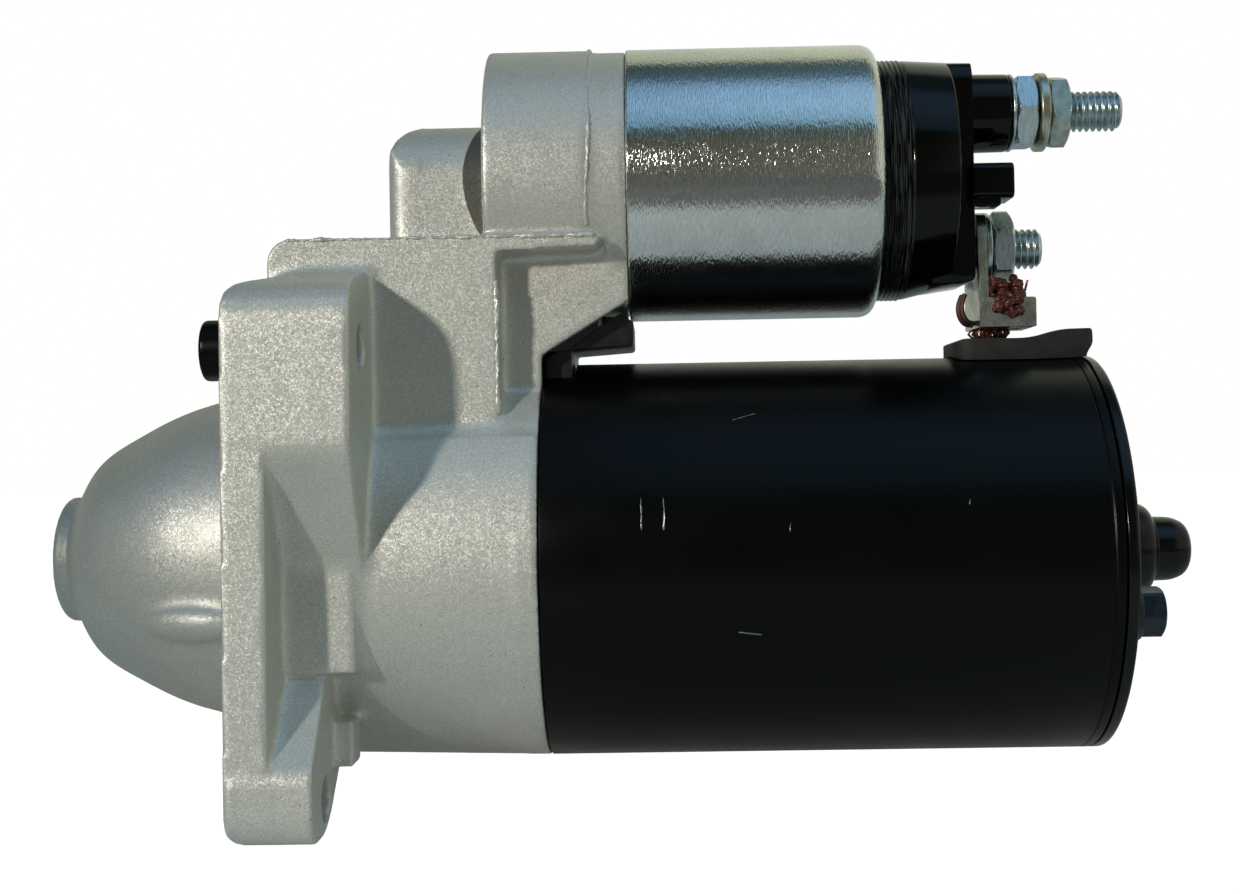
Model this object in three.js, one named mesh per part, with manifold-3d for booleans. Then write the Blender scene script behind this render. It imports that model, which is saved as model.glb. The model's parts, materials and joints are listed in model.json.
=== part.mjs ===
// Planetary gear-reduction starter motor.
// Millimetres. +X runs from the pinion end to the commutator end, +Z points at the solenoid.
// The origin is on the shaft axis, in the plane of the mounting face.
import * as THREE from "three";
import { mergeVertices } from "three/addons/utils/BufferGeometryUtils.js";
import Module from "manifold-3d";

const wasm = await Module();
wasm.setup();

// ---------- driving dimensions ----------
const GAP = 0.3; // kept between pieces that touch
const PI = Math.PI;

const YOKE_R = 38;
const YOKE_WALL = 3.1;
const YOKE_X = [53, 156];
const REAR_X = 158.5; // flat back of the end cover

const NOSE_X = -42;
const NOSE_R = 12.2;
const NOSE_RISE = 1.4; // the cast nose and dome sit this far above the shaft axis
const BARREL_R = 37;
const CAVITY_R = 31;

const FLANGE_T = 7.6;
const EAR_Y = -48; // near face of the upper ear
const EAR_HOLE_R = 4.1;
const EAR_TOP = 50.5;
const EAR_CREST = 54.2; // where the ear's sloped top meets the lever tower
const EAR_BOTTOM = -45.3;
const UPPER_EAR = { y: -36, z: 40, seat: 22.4 };
const LOWER_EAR = { y: -38, z: -39.4, seat: 15.3 };
const FAR_EAR = { y: 50, z: 4, seat: 15.3 };

const SOL_Z = 72.8; // solenoid axis
const SOL_R = 26.4;
const SOL_X = [69.5, 117.4];
const SHELF_Z = 60.7; // top of the lever tower
const TOWER_HALF = 27;
const STEP_X = 45.6; // rear edge of the tower's wide front part
const SCREW_CIRCLE = 19.6; // of the screws that hold the solenoid
const CAP_R = 23.2;
const CAP_X = [128.4, 135.8]; // end of its round part and of its terminal block

const BOLT_R = 30.5; // through-bolt circle
const BOLT_ANGLE = (18 * PI) / 180;

const BATTERY_Z = 85.8;
const MOTOR_Z = 59.1;
const STUD_HEAD_X = 123.8;
const BATTERY_TIP = 165.9;
const MOTOR_TIP = 149.9;
const STUD_R = 3.9;
const NUT_AF = 13;

// shift mechanism
const PIVOT = { x: 34.7, z: 46 };
const LEVER_TOP = SOL_Z - PIVOT.z; // arm above the pivot
const LEVER_FOOT = PIVOT.z; // arm below the pivot
const SWING = 0.3043; // whole swing of the lever, radians
const GROOVE_X = PIVOT.x + LEVER_FOOT * Math.sin(SWING / 2);
const TIP_X = PIVOT.x - LEVER_TOP * Math.sin(SWING / 2);

// planetary gears
const GEAR_MODULE = 1.1;
const SUN_TEETH = 11;
const PLANET_TEETH = 16;
const RING_TEETH = SUN_TEETH + 2 * PLANET_TEETH;
const PLANET_ORBIT = ((SUN_TEETH + PLANET_TEETH) * GEAR_MODULE) / 2;
const PRESSURE = (20 * PI) / 180;
const PINION = { module: 2.5, teeth: 10 };
const PLATE_X = GROOVE_X + 5.1; // front of the bearing plate

// ---------- materials ----------
function finish(color, roughness, metalness) {
  return new THREE.MeshStandardMaterial({ color, roughness, metalness });
}
const CAST = finish(0xa9aaa6, 0.6, 0.6);
const BLACK_PAINT = finish(0x101214, 0.4, 0.2);
const ZINC = finish(0xb6c0c6, 0.3, 0.9);
const STEEL = finish(0x8d9094, 0.35, 0.9);
const DARK_STEEL = finish(0x4c4f52, 0.45, 0.9);
const MOULDED = finish(0x0c0d0e, 0.3, 0);
const RUBBER = finish(0x262523, 0.8, 0);
const COPPER = finish(0x9c4a36, 0.45, 0.8);
const BRONZE = finish(0xa07a45, 0.5, 0.8);
const FERRITE = finish(0x3a3a3c, 0.8, 0.1);
const CARBON = finish(0x2b2826, 0.7, 0.2);
const NYLON = finish(0x35302a, 0.6, 0);

// ---------- shape helpers ----------
// A closed solid from a geometry, turned outwards if its profile ran backwards.
function solid(geometry) {
  const plain = geometry.index ? geometry.toNonIndexed() : geometry.clone();
  plain.deleteAttribute("normal");
  plain.deleteAttribute("uv");
  const merged = mergeVertices(plain, 1e-3);
  const index = merged.index.array;
  const forward = [];
  const backward = [];
  for (let i = 0; i < index.length; i += 3) {
    const [a, b, c] = [index[i], index[i + 1], index[i + 2]];
    if (a === b || b === c || c === a) continue;
    forward.push(a, b, c);
    backward.push(a, c, b);
  }
  const build = (order) =>
    new wasm.Manifold(
      new wasm.Mesh({
        numProp: 3,
        vertProperties: merged.attributes.position.array,
        triVerts: new Uint32Array(order),
      }),
    );
  const made = build(forward);
  return made.volume() < 0 ? build(backward) : made;
}

function join(first, ...others) {
  return others.reduce((sum, next) => sum.add(next), first);
}

function cut(first, ...others) {
  return others.reduce((rest, next) => rest.subtract(next), first);
}

function common(first, ...others) {
  return others.reduce((rest, next) => rest.intersect(next), first);
}

function block([x0, x1], [y0, y1], [z0, z1]) {
  const box = new THREE.BoxGeometry(x1 - x0, y1 - y0, z1 - z0);
  return solid(box.translate((x0 + x1) / 2, (y0 + y1) / 2, (z0 + z1) / 2));
}

// A profile of [x, radius] points turned about a line along X through (y, z).
function turned(profile, { y = 0, z = 0, sides = 24 } = {}) {
  const points = profile.map(([x, r]) => new THREE.Vector2(r, x));
  if (profile[0][1] > 0) points.push(points[0].clone());
  const lathe = new THREE.LatheGeometry(points, sides);
  return solid(lathe.rotateZ(-PI / 2).translate(0, y, z));
}

function rod(x0, x1, r, place) {
  const profile = [
    [x0, 0],
    [x0, r],
    [x1, r],
    [x1, 0],
  ];
  return turned(profile, place);
}

function tube(x0, x1, inner, outer, place) {
  const profile = [
    [x0, inner],
    [x0, outer],
    [x1, outer],
    [x1, inner],
  ];
  return turned(profile, place);
}

// A cylinder along Y.
function acrossY(x, z, r, [y0, y1], sides = 12) {
  const cylinder = new THREE.CylinderGeometry(r, r, y1 - y0, sides);
  return solid(cylinder.translate(x, (y0 + y1) / 2, z));
}

// A closed outline whose corners [u, v, cut] are rounded off over the length cut.
function outline(corners) {
  const shape = new THREE.Shape();
  const at = (i) => corners[(i + corners.length) % corners.length];
  corners.forEach(([u, v, length = 0], i) => {
    const corner = new THREE.Vector2(u, v);
    const towards = (j) => new THREE.Vector2(...at(j).slice(0, 2)).sub(corner).setLength(length);
    const start = length ? towards(i - 1).add(corner) : corner;
    if (i === 0) shape.moveTo(start.x, start.y);
    else shape.lineTo(start.x, start.y);
    if (!length) return;
    const end = towards(i + 1).add(corner);
    shape.quadraticCurveTo(u, v, end.x, end.y);
  });
  shape.closePath();
  return shape;
}

function extruded(shape, depth, steps) {
  return new THREE.ExtrudeGeometry(shape, { depth, bevelEnabled: false, curveSegments: steps });
}

// An outline in (y, z), extruded from x0 to x1.
function alongX(shape, [x0, x1], steps = 5) {
  const basis = new THREE.Matrix4().set(0, 0, 1, x0, 1, 0, 0, 0, 0, 1, 0, 0, 0, 0, 0, 1);
  return solid(extruded(shape, x1 - x0, steps).applyMatrix4(basis));
}

// An outline in (x, z), extruded from y0 to y1.
function alongY(shape, [y0, y1], steps = 5) {
  const basis = new THREE.Matrix4().set(1, 0, 0, 0, 0, 0, -1, y1, 0, 1, 0, 0, 0, 0, 0, 1);
  return solid(extruded(shape, y1 - y0, steps).applyMatrix4(basis));
}

// An outline in (x, y), extruded from z0 to z1.
function alongZ(shape, [z0, z1], steps = 5) {
  return solid(extruded(shape, z1 - z0, steps).translate(0, 0, z0));
}

function hexagon(acrossFlats, y, z, turn = 0) {
  const r = acrossFlats / Math.sqrt(3);
  const corners = [0, 1, 2, 3, 4, 5].map((i) => {
    const angle = turn + (i * PI) / 3;
    return [y + r * Math.cos(angle), z + r * Math.sin(angle)];
  });
  return outline(corners);
}

// ---------- gears ----------
const involute = (angle) => Math.tan(angle) - angle;

// The outline of a spur gear in (y, z). Slack thins each tooth; a negative slack cuts a wide space.
function gearOutline(gear, slack) {
  const { module, teeth, phase, tip, root } = gear;
  const pitchR = (module * teeth) / 2;
  const baseR = pitchR * Math.cos(PRESSURE);
  const half = (r) => {
    const angle = Math.acos(Math.min(1, baseR / r));
    return PI / (2 * teeth) - slack / pitchR + involute(PRESSURE) - involute(angle);
  };
  const low = Math.max(baseR, root);
  const flank = [low, (low + tip) / 2, tip].map((r) => [r, half(r)]);
  if (root < low - 0.05) flank.unshift([root, half(low)]);
  const side = [...flank.map(([r, a]) => [r, -a]), ...flank.reverse().map(([r, a]) => [r, a])];
  const shape = new THREE.Shape();
  for (let tooth = 0; tooth < teeth; tooth++) {
    side.forEach(([r, a], i) => {
      const angle = phase + (2 * PI * tooth) / teeth + a;
      const point = [r * Math.cos(angle), r * Math.sin(angle)];
      if (tooth + i === 0) shape.moveTo(...point);
      else shape.lineTo(...point);
    });
  }
  shape.closePath();
  return shape;
}

function spurGear(module, teeth, phase = 0) {
  const pitchR = (module * teeth) / 2;
  return { module, teeth, phase, tip: pitchR + module, root: pitchR - 1.25 * module };
}

const GEAR_SLACK = 0.07;

// ---------- housing ----------
function domeProfile(shrink) {
  const curve = new THREE.SplineCurve([
    new THREE.Vector2(-38.3, NOSE_R + 0.6),
    new THREE.Vector2(-34, 19.4),
    new THREE.Vector2(-27, 24),
    new THREE.Vector2(-16, 29.1),
    new THREE.Vector2(0, 33.2),
  ]);
  return curve.getPoints(7).map((p) => [p.x + shrink * 0.8, p.y - shrink]);
}

function housingBody() {
  const dome = turned(
    [
      [NOSE_X, 0],
      [NOSE_X, NOSE_R - 0.8],
      [NOSE_X + 0.8, NOSE_R],
      [-38.8, NOSE_R],
      ...domeProfile(0),
      [2, 33.6],
      [2, 0],
    ],
    { z: NOSE_RISE, sides: 48 },
  );
  const barrel = turned(
    [
      [0.5, 0],
      [0.5, BARREL_R],
      [30, BARREL_R],
      [48, YOKE_R - 0.3],
      [49, YOKE_R],
      [YOKE_X[0], YOKE_R],
      [YOKE_X[0], 0],
    ],
    { sides: 48 },
  );
  return join(dome, barrel);
}

function flange() {
  const corners = [
    [-51, EAR_BOTTOM, 5],
    [-36, EAR_BOTTOM, 4],
    [6, -42, 16],
    [38, -26, 12],
    [61, -8, 9],
    [61, 16, 9],
    [38, 33, 12],
    [6, 46, 12],
    [-21, EAR_CREST, 5],
    [-28, EAR_CREST, 1],
    [EAR_Y, EAR_TOP, 7],
  ];
  return alongX(outline(corners), [0, FLANGE_T]);
}

// The front edges of the near ears are rounded off above and below.
function earProfile() {
  const corners = [
    [0, EAR_BOTTOM, 4.5],
    [30, EAR_BOTTOM],
    [30, EAR_CREST],
    [9, EAR_CREST, 3],
    [0, EAR_TOP, 3],
  ];
  return alongY(outline(corners), [-60, 70]);
}

// The thick boss of each near ear, with the web that falls from it to the barrel.
function upperEarBoss() {
  const corners = [
    [EAR_Y, EAR_TOP, 7],
    [-28, EAR_CREST, 1],
    [-20, EAR_CREST, 1],
    [-20, 8, 1],
    [-33, -0.5, 1],
    [-37, -0.5, 1],
    [EAR_Y - 1, 22, 2],
  ];
  return alongX(outline(corners), [1, UPPER_EAR.seat]);
}

function lowerEarBoss() {
  const corners = [
    [-51, EAR_BOTTOM, 5],
    [-37, EAR_BOTTOM, 5],
    [-18, -31, 1],
    [-22, -18, 1],
    [-37, -17.5, 2],
    [-51, -33, 2],
  ];
  const hook = block([14, 19.4], [-33.5, -26], [-34.5, -26.5]);
  return join(alongX(outline(corners), [1, LOWER_EAR.seat]), hook);
}

function farEarBoss() {
  const corners = [
    [30, -9, 2],
    [59, -8, 8],
    [59, 16, 8],
    [30, 17, 2],
  ];
  return alongX(outline(corners), [1, FAR_EAR.seat]);
}

const boltPlace = (side) => ({
  y: -side * BOLT_R * Math.cos(BOLT_ANGLE),
  z: -side * BOLT_R * Math.sin(BOLT_ANGLE),
});

const BOSS_END = 46.3;

// The bosses that take the ends of the through bolts; the near one shows as a bulge on the dome.
function boltBosses() {
  const near = [
    [-17, 0],
    [-16.2, 2.6],
    [-14, 4.6],
    [-11, 5.2],
    [BOSS_END, 5.2],
    [BOSS_END, 0],
  ];
  return [
    turned(near, { ...boltPlace(1), sides: 12 }),
    rod(2, BOSS_END, 5.2, { ...boltPlace(-1), sides: 12 }),
  ];
}

// A flat pad that stands slightly proud of the barrel behind the near bolt boss.
function barrelPad() {
  const plan = [
    [2, -38.2],
    [20.6, -38.2, 0.5],
    [22.2, -30],
    [2, -30],
  ];
  return alongZ(outline(plan), [-17.4, 2.4]);
}

function tower() {
  const wall = [
    [3.7, SHELF_Z, 5],
    [64.5, SHELF_Z],
    [64.5, 45.5],
    [53, 38.8],
    [YOKE_X[0], 20],
    [3.7, 20],
  ];
  const seatWall = [
    [42.5, SHELF_Z + 4],
    [SOL_X[0], SHELF_Z + 4],
    [SOL_X[0], 49],
    [68, 48],
    [53.2, 39],
    [YOKE_X[0], 20],
    [40, 20],
  ];
  const front = block([3.7, STEP_X], [-TOWER_HALF, TOWER_HALF], [18, SHELF_Z]);
  const behind = block([40.5, SOL_X[0]], [-19.6, 19.6], [18, SHELF_Z + 4]);
  const shelf = [
    [STEP_X - 4, SHELF_Z - 3],
    [STEP_X - 4, SHELF_Z],
    [64.5, SHELF_Z, 1],
    [64.5, SHELF_Z - 2.4, 1],
  ];
  return join(
    common(front, alongY(outline(wall), [-30, 30])),
    common(behind, alongY(outline(seatWall), [-30, 30])),
    alongY(outline(shelf), [-TOWER_HALF, TOWER_HALF]),
  );
}

// The small block in front of the solenoid saddle, with rounded front corners.
const SMALL_X = 23.7;

function smallBlock() {
  const r = 12.2;
  const side = alongY(
    outline([
      [SMALL_X, SHELF_Z - 4],
      [SMALL_X, SOL_Z + r, 9.5],
      [48, SOL_Z + r + 0.6],
      [48, SHELF_Z - 4],
    ]),
    [-r, r],
  );
  const plan = alongZ(
    outline([
      [SMALL_X, -r, 4],
      [48, -r],
      [48, r],
      [SMALL_X, r, 4],
    ]),
    [50, 95],
  );
  const section = new THREE.Shape();
  section.moveTo(-r, SHELF_Z - 4);
  section.lineTo(r, SHELF_Z - 4);
  section.lineTo(r, SOL_Z);
  section.absarc(0, SOL_Z, r + 0.3, 0, PI, false);
  section.closePath();
  return common(side, plan, alongX(section, [20, 50], 8));
}

function saddle() {
  const profile = [
    [37.8, 0],
    [37.8, 12.2],
    [40, 13.7],
    [41.6, 16],
    [42.3, 19],
    [42.3, SOL_R - 4.6],
    [43, SOL_R - 2.4],
    [44.4, SOL_R - 0.8],
    [46.4, SOL_R],
    [62.2, SOL_R],
    [62.6, SOL_R - 0.45],
    [SOL_X[0], SOL_R - 0.45],
    [SOL_X[0], 0],
  ];
  const round = turned(profile, { z: SOL_Z, sides: 44 });
  const upper = block([36, 72], [-30, 30], [SHELF_Z - 1, 102]);
  const seat = block([65.5, 72], [-30, 30], [49, SHELF_Z + 2]);
  return join(common(round, upper), common(round, seat));
}

const SCREW_ANGLES = [0, 90, 180].map((a) => (a * PI) / 180);
const screwPlace = (angle) => ({
  y: SCREW_CIRCLE * Math.cos(angle),
  z: SOL_Z + SCREW_CIRCLE * Math.sin(angle),
});

// Everything hollow inside the casting: nose bore, drive cavity, lever way and solenoid chamber.
function housingHollows() {
  const drive = turned(
    [
      [-32, 0],
      [-32, 14.5],
      ...domeProfile(4).filter(([x]) => x > -29 && x < -3),
      [0, CAVITY_R - 1],
      [6, CAVITY_R],
      [PLATE_X - 0.5, CAVITY_R],
      [PLATE_X - 0.5, 34.6],
      [54, 34.6],
      [54, 0],
    ],
    { sides: 32 },
  );
  const leverWay = alongY(
    outline([
      [9, 22],
      [9, 58.5],
      [48, 58.5],
      [64, 58.5],
      [64, 44],
      [53, 36],
      [54, 22],
    ]),
    [-17, 17],
  );
  const chamber = turned(
    [
      [SMALL_X + 2, 0],
      [SMALL_X + 2, 9.6],
      [46, 9.6],
      [46, 21.5],
      [71, 21.5],
      [71, 0],
    ],
    { z: SOL_Z, sides: 24 },
  );
  const [nearBoss, farBoss] = boltBosses();
  return [
    cut(drive, nearBoss, farBoss),
    rod(NOSE_X + 2.5, -31, 9.3),
    leverWay,
    block([SMALL_X + 2, 50], [-9.6, 9.6], [50, SOL_Z]),
    block([50, 64], [-17, 17], [50, SOL_Z - 5]),
    chamber,
    block([54, 71], [-17, 17], [30, 48.5]),
  ];
}

function pinionWindow() {
  const mouth = outline([
    [-30, -17, 4],
    [-4, -17, 4],
    [-4, 17, 4],
    [-30, 17, 4],
  ]);
  return alongY(mouth, [12, 45]);
}

function housingHoles() {
  const ears = [UPPER_EAR, LOWER_EAR, FAR_EAR].map(({ y, z }) =>
    rod(-2, 30, EAR_HOLE_R, { y, z, sides: 16 }),
  );
  const sleeveSeat = rod(-2, 8, 5.7, { y: UPPER_EAR.y, z: UPPER_EAR.z, sides: 16 });
  const bolts = [1, -1].map((side) => rod(18, 60, 2.8, { ...boltPlace(side), sides: 10 }));
  const screws = SCREW_ANGLES.flatMap((angle) => {
    const place = { ...screwPlace(angle), sides: 12 };
    return [rod(62, 72, 2.8, place), rod(40, 62, 4.9, place)];
  });
  return [...ears, sleeveSeat, ...bolts, ...screws];
}

function driveEndHousing() {
  const ears = join(flange(), upperEarBoss(), lowerEarBoss(), farEarBoss());
  const body = join(
    housingBody(),
    common(ears, earProfile()),
    ...boltBosses(),
    barrelPad(),
    tower(),
    smallBlock(),
    saddle(),
  );
  return cut(body, ...housingHollows(), pinionWindow(), ...housingHoles());
}

function locatingSleeve() {
  return turned(
    [
      [-5.4, 4.3],
      [-5.4, 4.9],
      [-4.7, 5.4],
      [7.7, 5.4],
      [7.7, 4.3],
    ],
    { y: UPPER_EAR.y, z: UPPER_EAR.z, sides: 16 },
  );
}

// ---------- yoke, end cover and through bolts ----------
const LEAD_NOTCH = { x: [133.2, 158], half: 6.6 };

function yokeTube() {
  const inner = YOKE_R - YOKE_WALL;
  const shell = tube(YOKE_X[0] + GAP, YOKE_X[1], inner, YOKE_R, { sides: 48 });
  const leverNotch = block([50, 59.2], [-15, 15], [30, 45]);
  const leadNotch = block(LEAD_NOTCH.x, [-LEAD_NOTCH.half, LEAD_NOTCH.half], [30, 45]);
  return cut(shell, leverNotch, leadNotch);
}

function endCover() {
  const shell = turned(
    [
      [YOKE_X[1] + GAP, 34.5],
      [YOKE_X[1] + GAP, YOKE_R],
      [REAR_X - 0.8, YOKE_R],
      [REAR_X, YOKE_R - 0.9],
      [REAR_X, 11.5],
      [REAR_X + 1, 9.8],
      [REAR_X + 8, 9.3],
      [REAR_X + 10.8, 8.2],
      [REAR_X + 11.8, 6.3],
      [REAR_X + 16.6, 6.1],
      [REAR_X + 18.6, 4.8],
      [REAR_X + 19.3, 2],
      [REAR_X + 19.3, 0],
      [REAR_X + 16, 0],
      [REAR_X + 16, 4.4],
      [REAR_X + 8, 4.4],
      [REAR_X + 8, 6.8],
      [REAR_X - 2, 6.8],
      [REAR_X - 2, 34.5],
    ],
    { sides: 48 },
  );
  const holes = [1, -1].map((side) => rod(REAR_X - 5, REAR_X + 2, 2.9, { ...boltPlace(side), sides: 10 }));
  return cut(shell, ...holes);
}

function throughBolt(side) {
  const place = boltPlace(side);
  return join(
    rod(20, REAR_X + 1, 2.45, { ...place, sides: 10 }),
    rod(REAR_X + GAP, REAR_X + 1.5, 5.2, { ...place, sides: 16 }),
    alongX(hexagon(8, place.y, place.z, 0.2), [REAR_X + 1.4, REAR_X + 5.7]),
  );
}

// ---------- solenoid ----------
function solenoidCan() {
  const front = SOL_X[0] + 0.1;
  const back = SOL_X[1];
  const shell = turned(
    [
      [front, 9.8],
      [front, SOL_R],
      [back - 3, SOL_R],
      [back - 1.2, SOL_R - 0.7],
      [back - 0.2, SOL_R - 2.2],
      [back, SOL_R - 3],
      [back - 1.6, SOL_R - 3],
      [back - 4.5, SOL_R - 2.4],
      [front + 2.6, SOL_R - 2.4],
      [front + 2.6, 9.8],
    ],
    { z: SOL_Z, sides: 40 },
  );
  const screws = SCREW_ANGLES.map((angle) => rod(60, 80, 2.8, { ...screwPlace(angle), sides: 10 }));
  return cut(shell, ...screws);
}

// The hood that shrouds the switch blade, open to the rear.
function hood() {
  const corners = [
    [-13, 67.6, 1.5],
    [-13, 74.4, 2],
    [-2.5, 74.4, 2],
    [-2.5, 67.6, 1.5],
  ];
  const mouth = block([136.6, 146], [-11.3, -4.2], [69.2, 72.8]);
  const lip = block([CAP_X[1] - 1, 140.6], [-11, -4.5], [66.4, 69]);
  return { body: join(alongX(outline(corners), [CAP_X[1] - 1, 142.8]), lip), mouth };
}

// The raised block between the two studs.
function terminalBlock() {
  const corners = [
    [-9.5, 51.6, 5],
    [9.5, 51.6, 5],
    [9.5, 95.7, 7],
    [-9.5, 95.7, 7],
  ];
  const side = outline([
    [126, 49.8],
    [CAP_X[1], 52.4, 1],
    [CAP_X[1], 95.6, 1],
    [126, 96],
  ]);
  return common(alongX(outline(corners), [126.5, CAP_X[1]]), alongY(side, [-12, 12]));
}

function solenoidCap() {
  const hollow = 20;
  const shell = turned(
    [
      [107, hollow],
      [107, 23],
      [SOL_X[1] - 5.2, 23],
      [SOL_X[1] - 1, CAP_R - 0.5],
      [CAP_X[0] - 2.4, CAP_R],
      [CAP_X[0] - 0.8, CAP_R - 0.4],
      [CAP_X[0], CAP_R - 1.4],
      [CAP_X[0], 0],
      [127, 0],
      [127, hollow],
    ],
    { z: SOL_Z, sides: 36 },
  );
  const { body, mouth } = hood();
  const stem = rod(CAP_X[1] - 1, 143.8, 7.6, { z: BATTERY_Z, sides: 20 });
  const studHoles = [BATTERY_Z, MOTOR_Z].map((z) => rod(120, 150, STUD_R + GAP, { z, sides: 12 }));
  const bladeHole = block([125, 140], [-9.3, -6.3], [69.6, 72.4]);
  return cut(join(shell, terminalBlock(), body, stem), mouth, bladeHole, ...studHoles);
}

function stud(z, tip, headX) {
  const place = { z, sides: 12 };
  return join(
    rod(headX, tip - 0.8, STUD_R, place),
    turned(
      [
        [tip - 0.9, 0],
        [tip - 0.9, STUD_R],
        [tip, STUD_R - 0.8],
        [tip, 0],
      ],
      place,
    ),
    rod(headX, headX + 2.6, 5.8, place),
  );
}

function washer(x0, x1, r, z) {
  return tube(x0, x1, STUD_R + GAP, r, { z, sides: 16 });
}

function nut(x0, x1, z, turn) {
  const hex = alongX(hexagon(NUT_AF, 0, z, turn), [x0, x1]);
  return cut(hex, rod(x0 - 1, x1 + 1, STUD_R + GAP, { z, sides: 12 }));
}

// ---------- lead ----------
const LUG = { x: 136.6, t: 1.8, foot: 43.5 };

// A folded lug: an upright plate on the stud, a foot, and a flange on the near edge of the foot.
function cableLug() {
  const upright = alongX(
    outline([
      [-8.5, LUG.foot, 1],
      [7.5, LUG.foot, 1],
      [7.5, MOTOR_Z + 6.9, 5],
      [-7.5, MOTOR_Z + 6.9, 5],
    ]),
    [LUG.x, LUG.x + LUG.t],
  );
  const foot = block([LUG.x, 147.4], [-8.5, 6], [LUG.foot, LUG.foot + 1.5]);
  const side = alongY(
    outline([
      [LUG.x, LUG.foot],
      [147.4, LUG.foot, 1.6],
      [147.4, LUG.foot + 5.6, 0.6],
      [LUG.x, LUG.foot + 5.6],
    ]),
    [-8.5, -7],
  );
  const hole = rod(130, 150, STUD_R + GAP, { z: MOTOR_Z, sides: 12 });
  const slot = block([139.4, 146], [-3.2, 3.2], [40, 46]);
  return cut(join(upright, foot, side), hole, slot);
}

// The braid comes up through the grommet and the lug's slot, and is welded above the foot.
function motorLead() {
  const route = new THREE.CatmullRomCurve3([
    new THREE.Vector3(144.3, -1.5, 50.4),
    new THREE.Vector3(142.8, -0.5, 46.5),
    new THREE.Vector3(142, 0, 42.5),
    new THREE.Vector3(141.6, 0, 38.5),
    new THREE.Vector3(141.6, 0, 33.6),
  ]);
  const round = new THREE.Shape().absarc(0, 0, 2.3, 0, 2 * PI);
  const braid = new THREE.ExtrudeGeometry(round, { steps: 8, curveSegments: 4, extrudePath: route });
  return solid(braid);
}

function leadGrommet() {
  const profile = [
    [131.8, 34],
    [131.8, 40.6, 0.5],
    [133.2, 41.3, 0.8],
    [146, 41.2, 2.5],
    [151.5, 42.8, 2.5],
    [158.4, 43, 0.8],
    [158.7, 40.4, 1],
    [157, 38, 1],
    [157, 34],
  ];
  const head = cut(alongY(outline(profile), [-9, 9]), rod(120, 170, YOKE_R + GAP, { sides: 48 }));
  const plan = outline([
    [131.8, -9, 4],
    [150, -9, 6],
    [158.8, -7, 2],
    [158.8, 7, 2],
    [150, 9, 6],
    [131.8, 9, 4],
  ]);
  const neck = block([133.6, 156.2], [-6.2, 6.2], [34.9, 40]);
  const way = solid(new THREE.CylinderGeometry(2.8, 2.8, 30, 12).rotateX(PI / 2).translate(141.9, 0, 42));
  return cut(join(common(head, alongZ(plan, [30, 50])), neck), way);
}

// ---------- lever and its bracket ----------
// The moulded block closes the gap between housing, solenoid and yoke, and its two arms hold the pin.
function leverBracket() {
  const seal = alongY(
    outline([
      [53.6, 33.4],
      [53.6, 38.5],
      [64, 44.6],
      [69.2, 47.7],
      [69.2, 45.9],
      [70.3, 45.4],
      [70.3, 41, 0.8],
      [58.6, 40.2, 0.6],
      [58.6, 33.4],
    ]),
    [-14.6, 14.6],
  );
  const plug = alongY(
    outline([
      [51, 39.6],
      [51, 50.2],
      [63.6, 50.2],
      [63.6, 44],
      [58, 40],
    ]),
    [-16.6, 16.6],
  );
  const arms = alongY(
    outline([
      [52, 42.5],
      [52, 49.6],
      [PIVOT.x - 4.6, 50.4, 4],
      [PIVOT.x - 4.6, 41.8, 4],
    ]),
    [-16.4, 16.4],
  );
  const between = block([PIVOT.x - 8, 50.9], [-11.6, 11.6], [38, 54]);
  const pinHole = acrossY(PIVOT.x, PIVOT.z, 2.5, [-20, 20]);
  const bore = rod(40, 58, 33, { sides: 24 });
  const yoke = rod(59.2 - GAP, 80, YOKE_R + 0.4, { sides: 48 });
  return cut(join(cut(seal, bore), plug, cut(arms, between)), pinHole, yoke);
}

function leverPin() {
  return acrossY(PIVOT.x, PIVOT.z, 2.2, [-16, 16]);
}

// Drawn upright about its pivot, then leaned back to its rest place.
function shiftLever() {
  const fork = outline([
    [-20.6, -LEVER_FOOT - 4, 1.2],
    [-17.9, -LEVER_FOOT - 4, 1.2],
    [-17.9, -LEVER_FOOT + 9, 4],
    [-12, -25.5, 4],
    [-5, -22.5, 3],
    [5, -22.5, 3],
    [12, -25.5, 4],
    [17.9, -LEVER_FOOT + 9, 4],
    [17.9, -LEVER_FOOT - 4, 1.2],
    [20.6, -LEVER_FOOT - 4, 1.2],
    [20.6, -LEVER_FOOT + 12, 8],
    [10, -15, 6],
    [7, 5, 2],
    [3, 10, 2],
    [3, LEVER_TOP + 2.4, 1],
    [-3, LEVER_TOP + 2.4, 1],
    [-3, 10, 2],
    [-7, 5, 2],
    [-10, -15, 6],
    [-20.6, -LEVER_FOOT + 12, 8],
  ]);
  const side = outline([
    [-3, -LEVER_FOOT - 4, 2],
    [3, -LEVER_FOOT - 4, 2],
    [3.4, -12, 1],
    [1.7, LEVER_TOP - 4, 1],
    [2.5, LEVER_TOP, 1],
    [1.2, LEVER_TOP + 2.4, 0.8],
    [-1.2, LEVER_TOP + 2.4, 0.8],
    [-2.5, LEVER_TOP, 1],
    [-1.7, LEVER_TOP - 4, 1],
    [-3.4, -12, 1],
  ]);
  const upright = common(alongX(fork, [-8, 8], 2), alongY(side, [-22, 22], 2));
  const hub = acrossY(0, 0, 5.4, [-11, 11], 16);
  const shoes = [-1, 1].map((s) => acrossY(0, -LEVER_FOOT, 2.3, s < 0 ? [-18.4, -13.4] : [13.4, 18.4]));
  const bore = acrossY(0, 0, 2.5, [-12, 12]);
  const lever = cut(join(upright, hub, ...shoes), bore);
  return lever.rotate([0, (-SWING * 90) / PI, 0]).translate([PIVOT.x, 0, PIVOT.z]);
}

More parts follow.
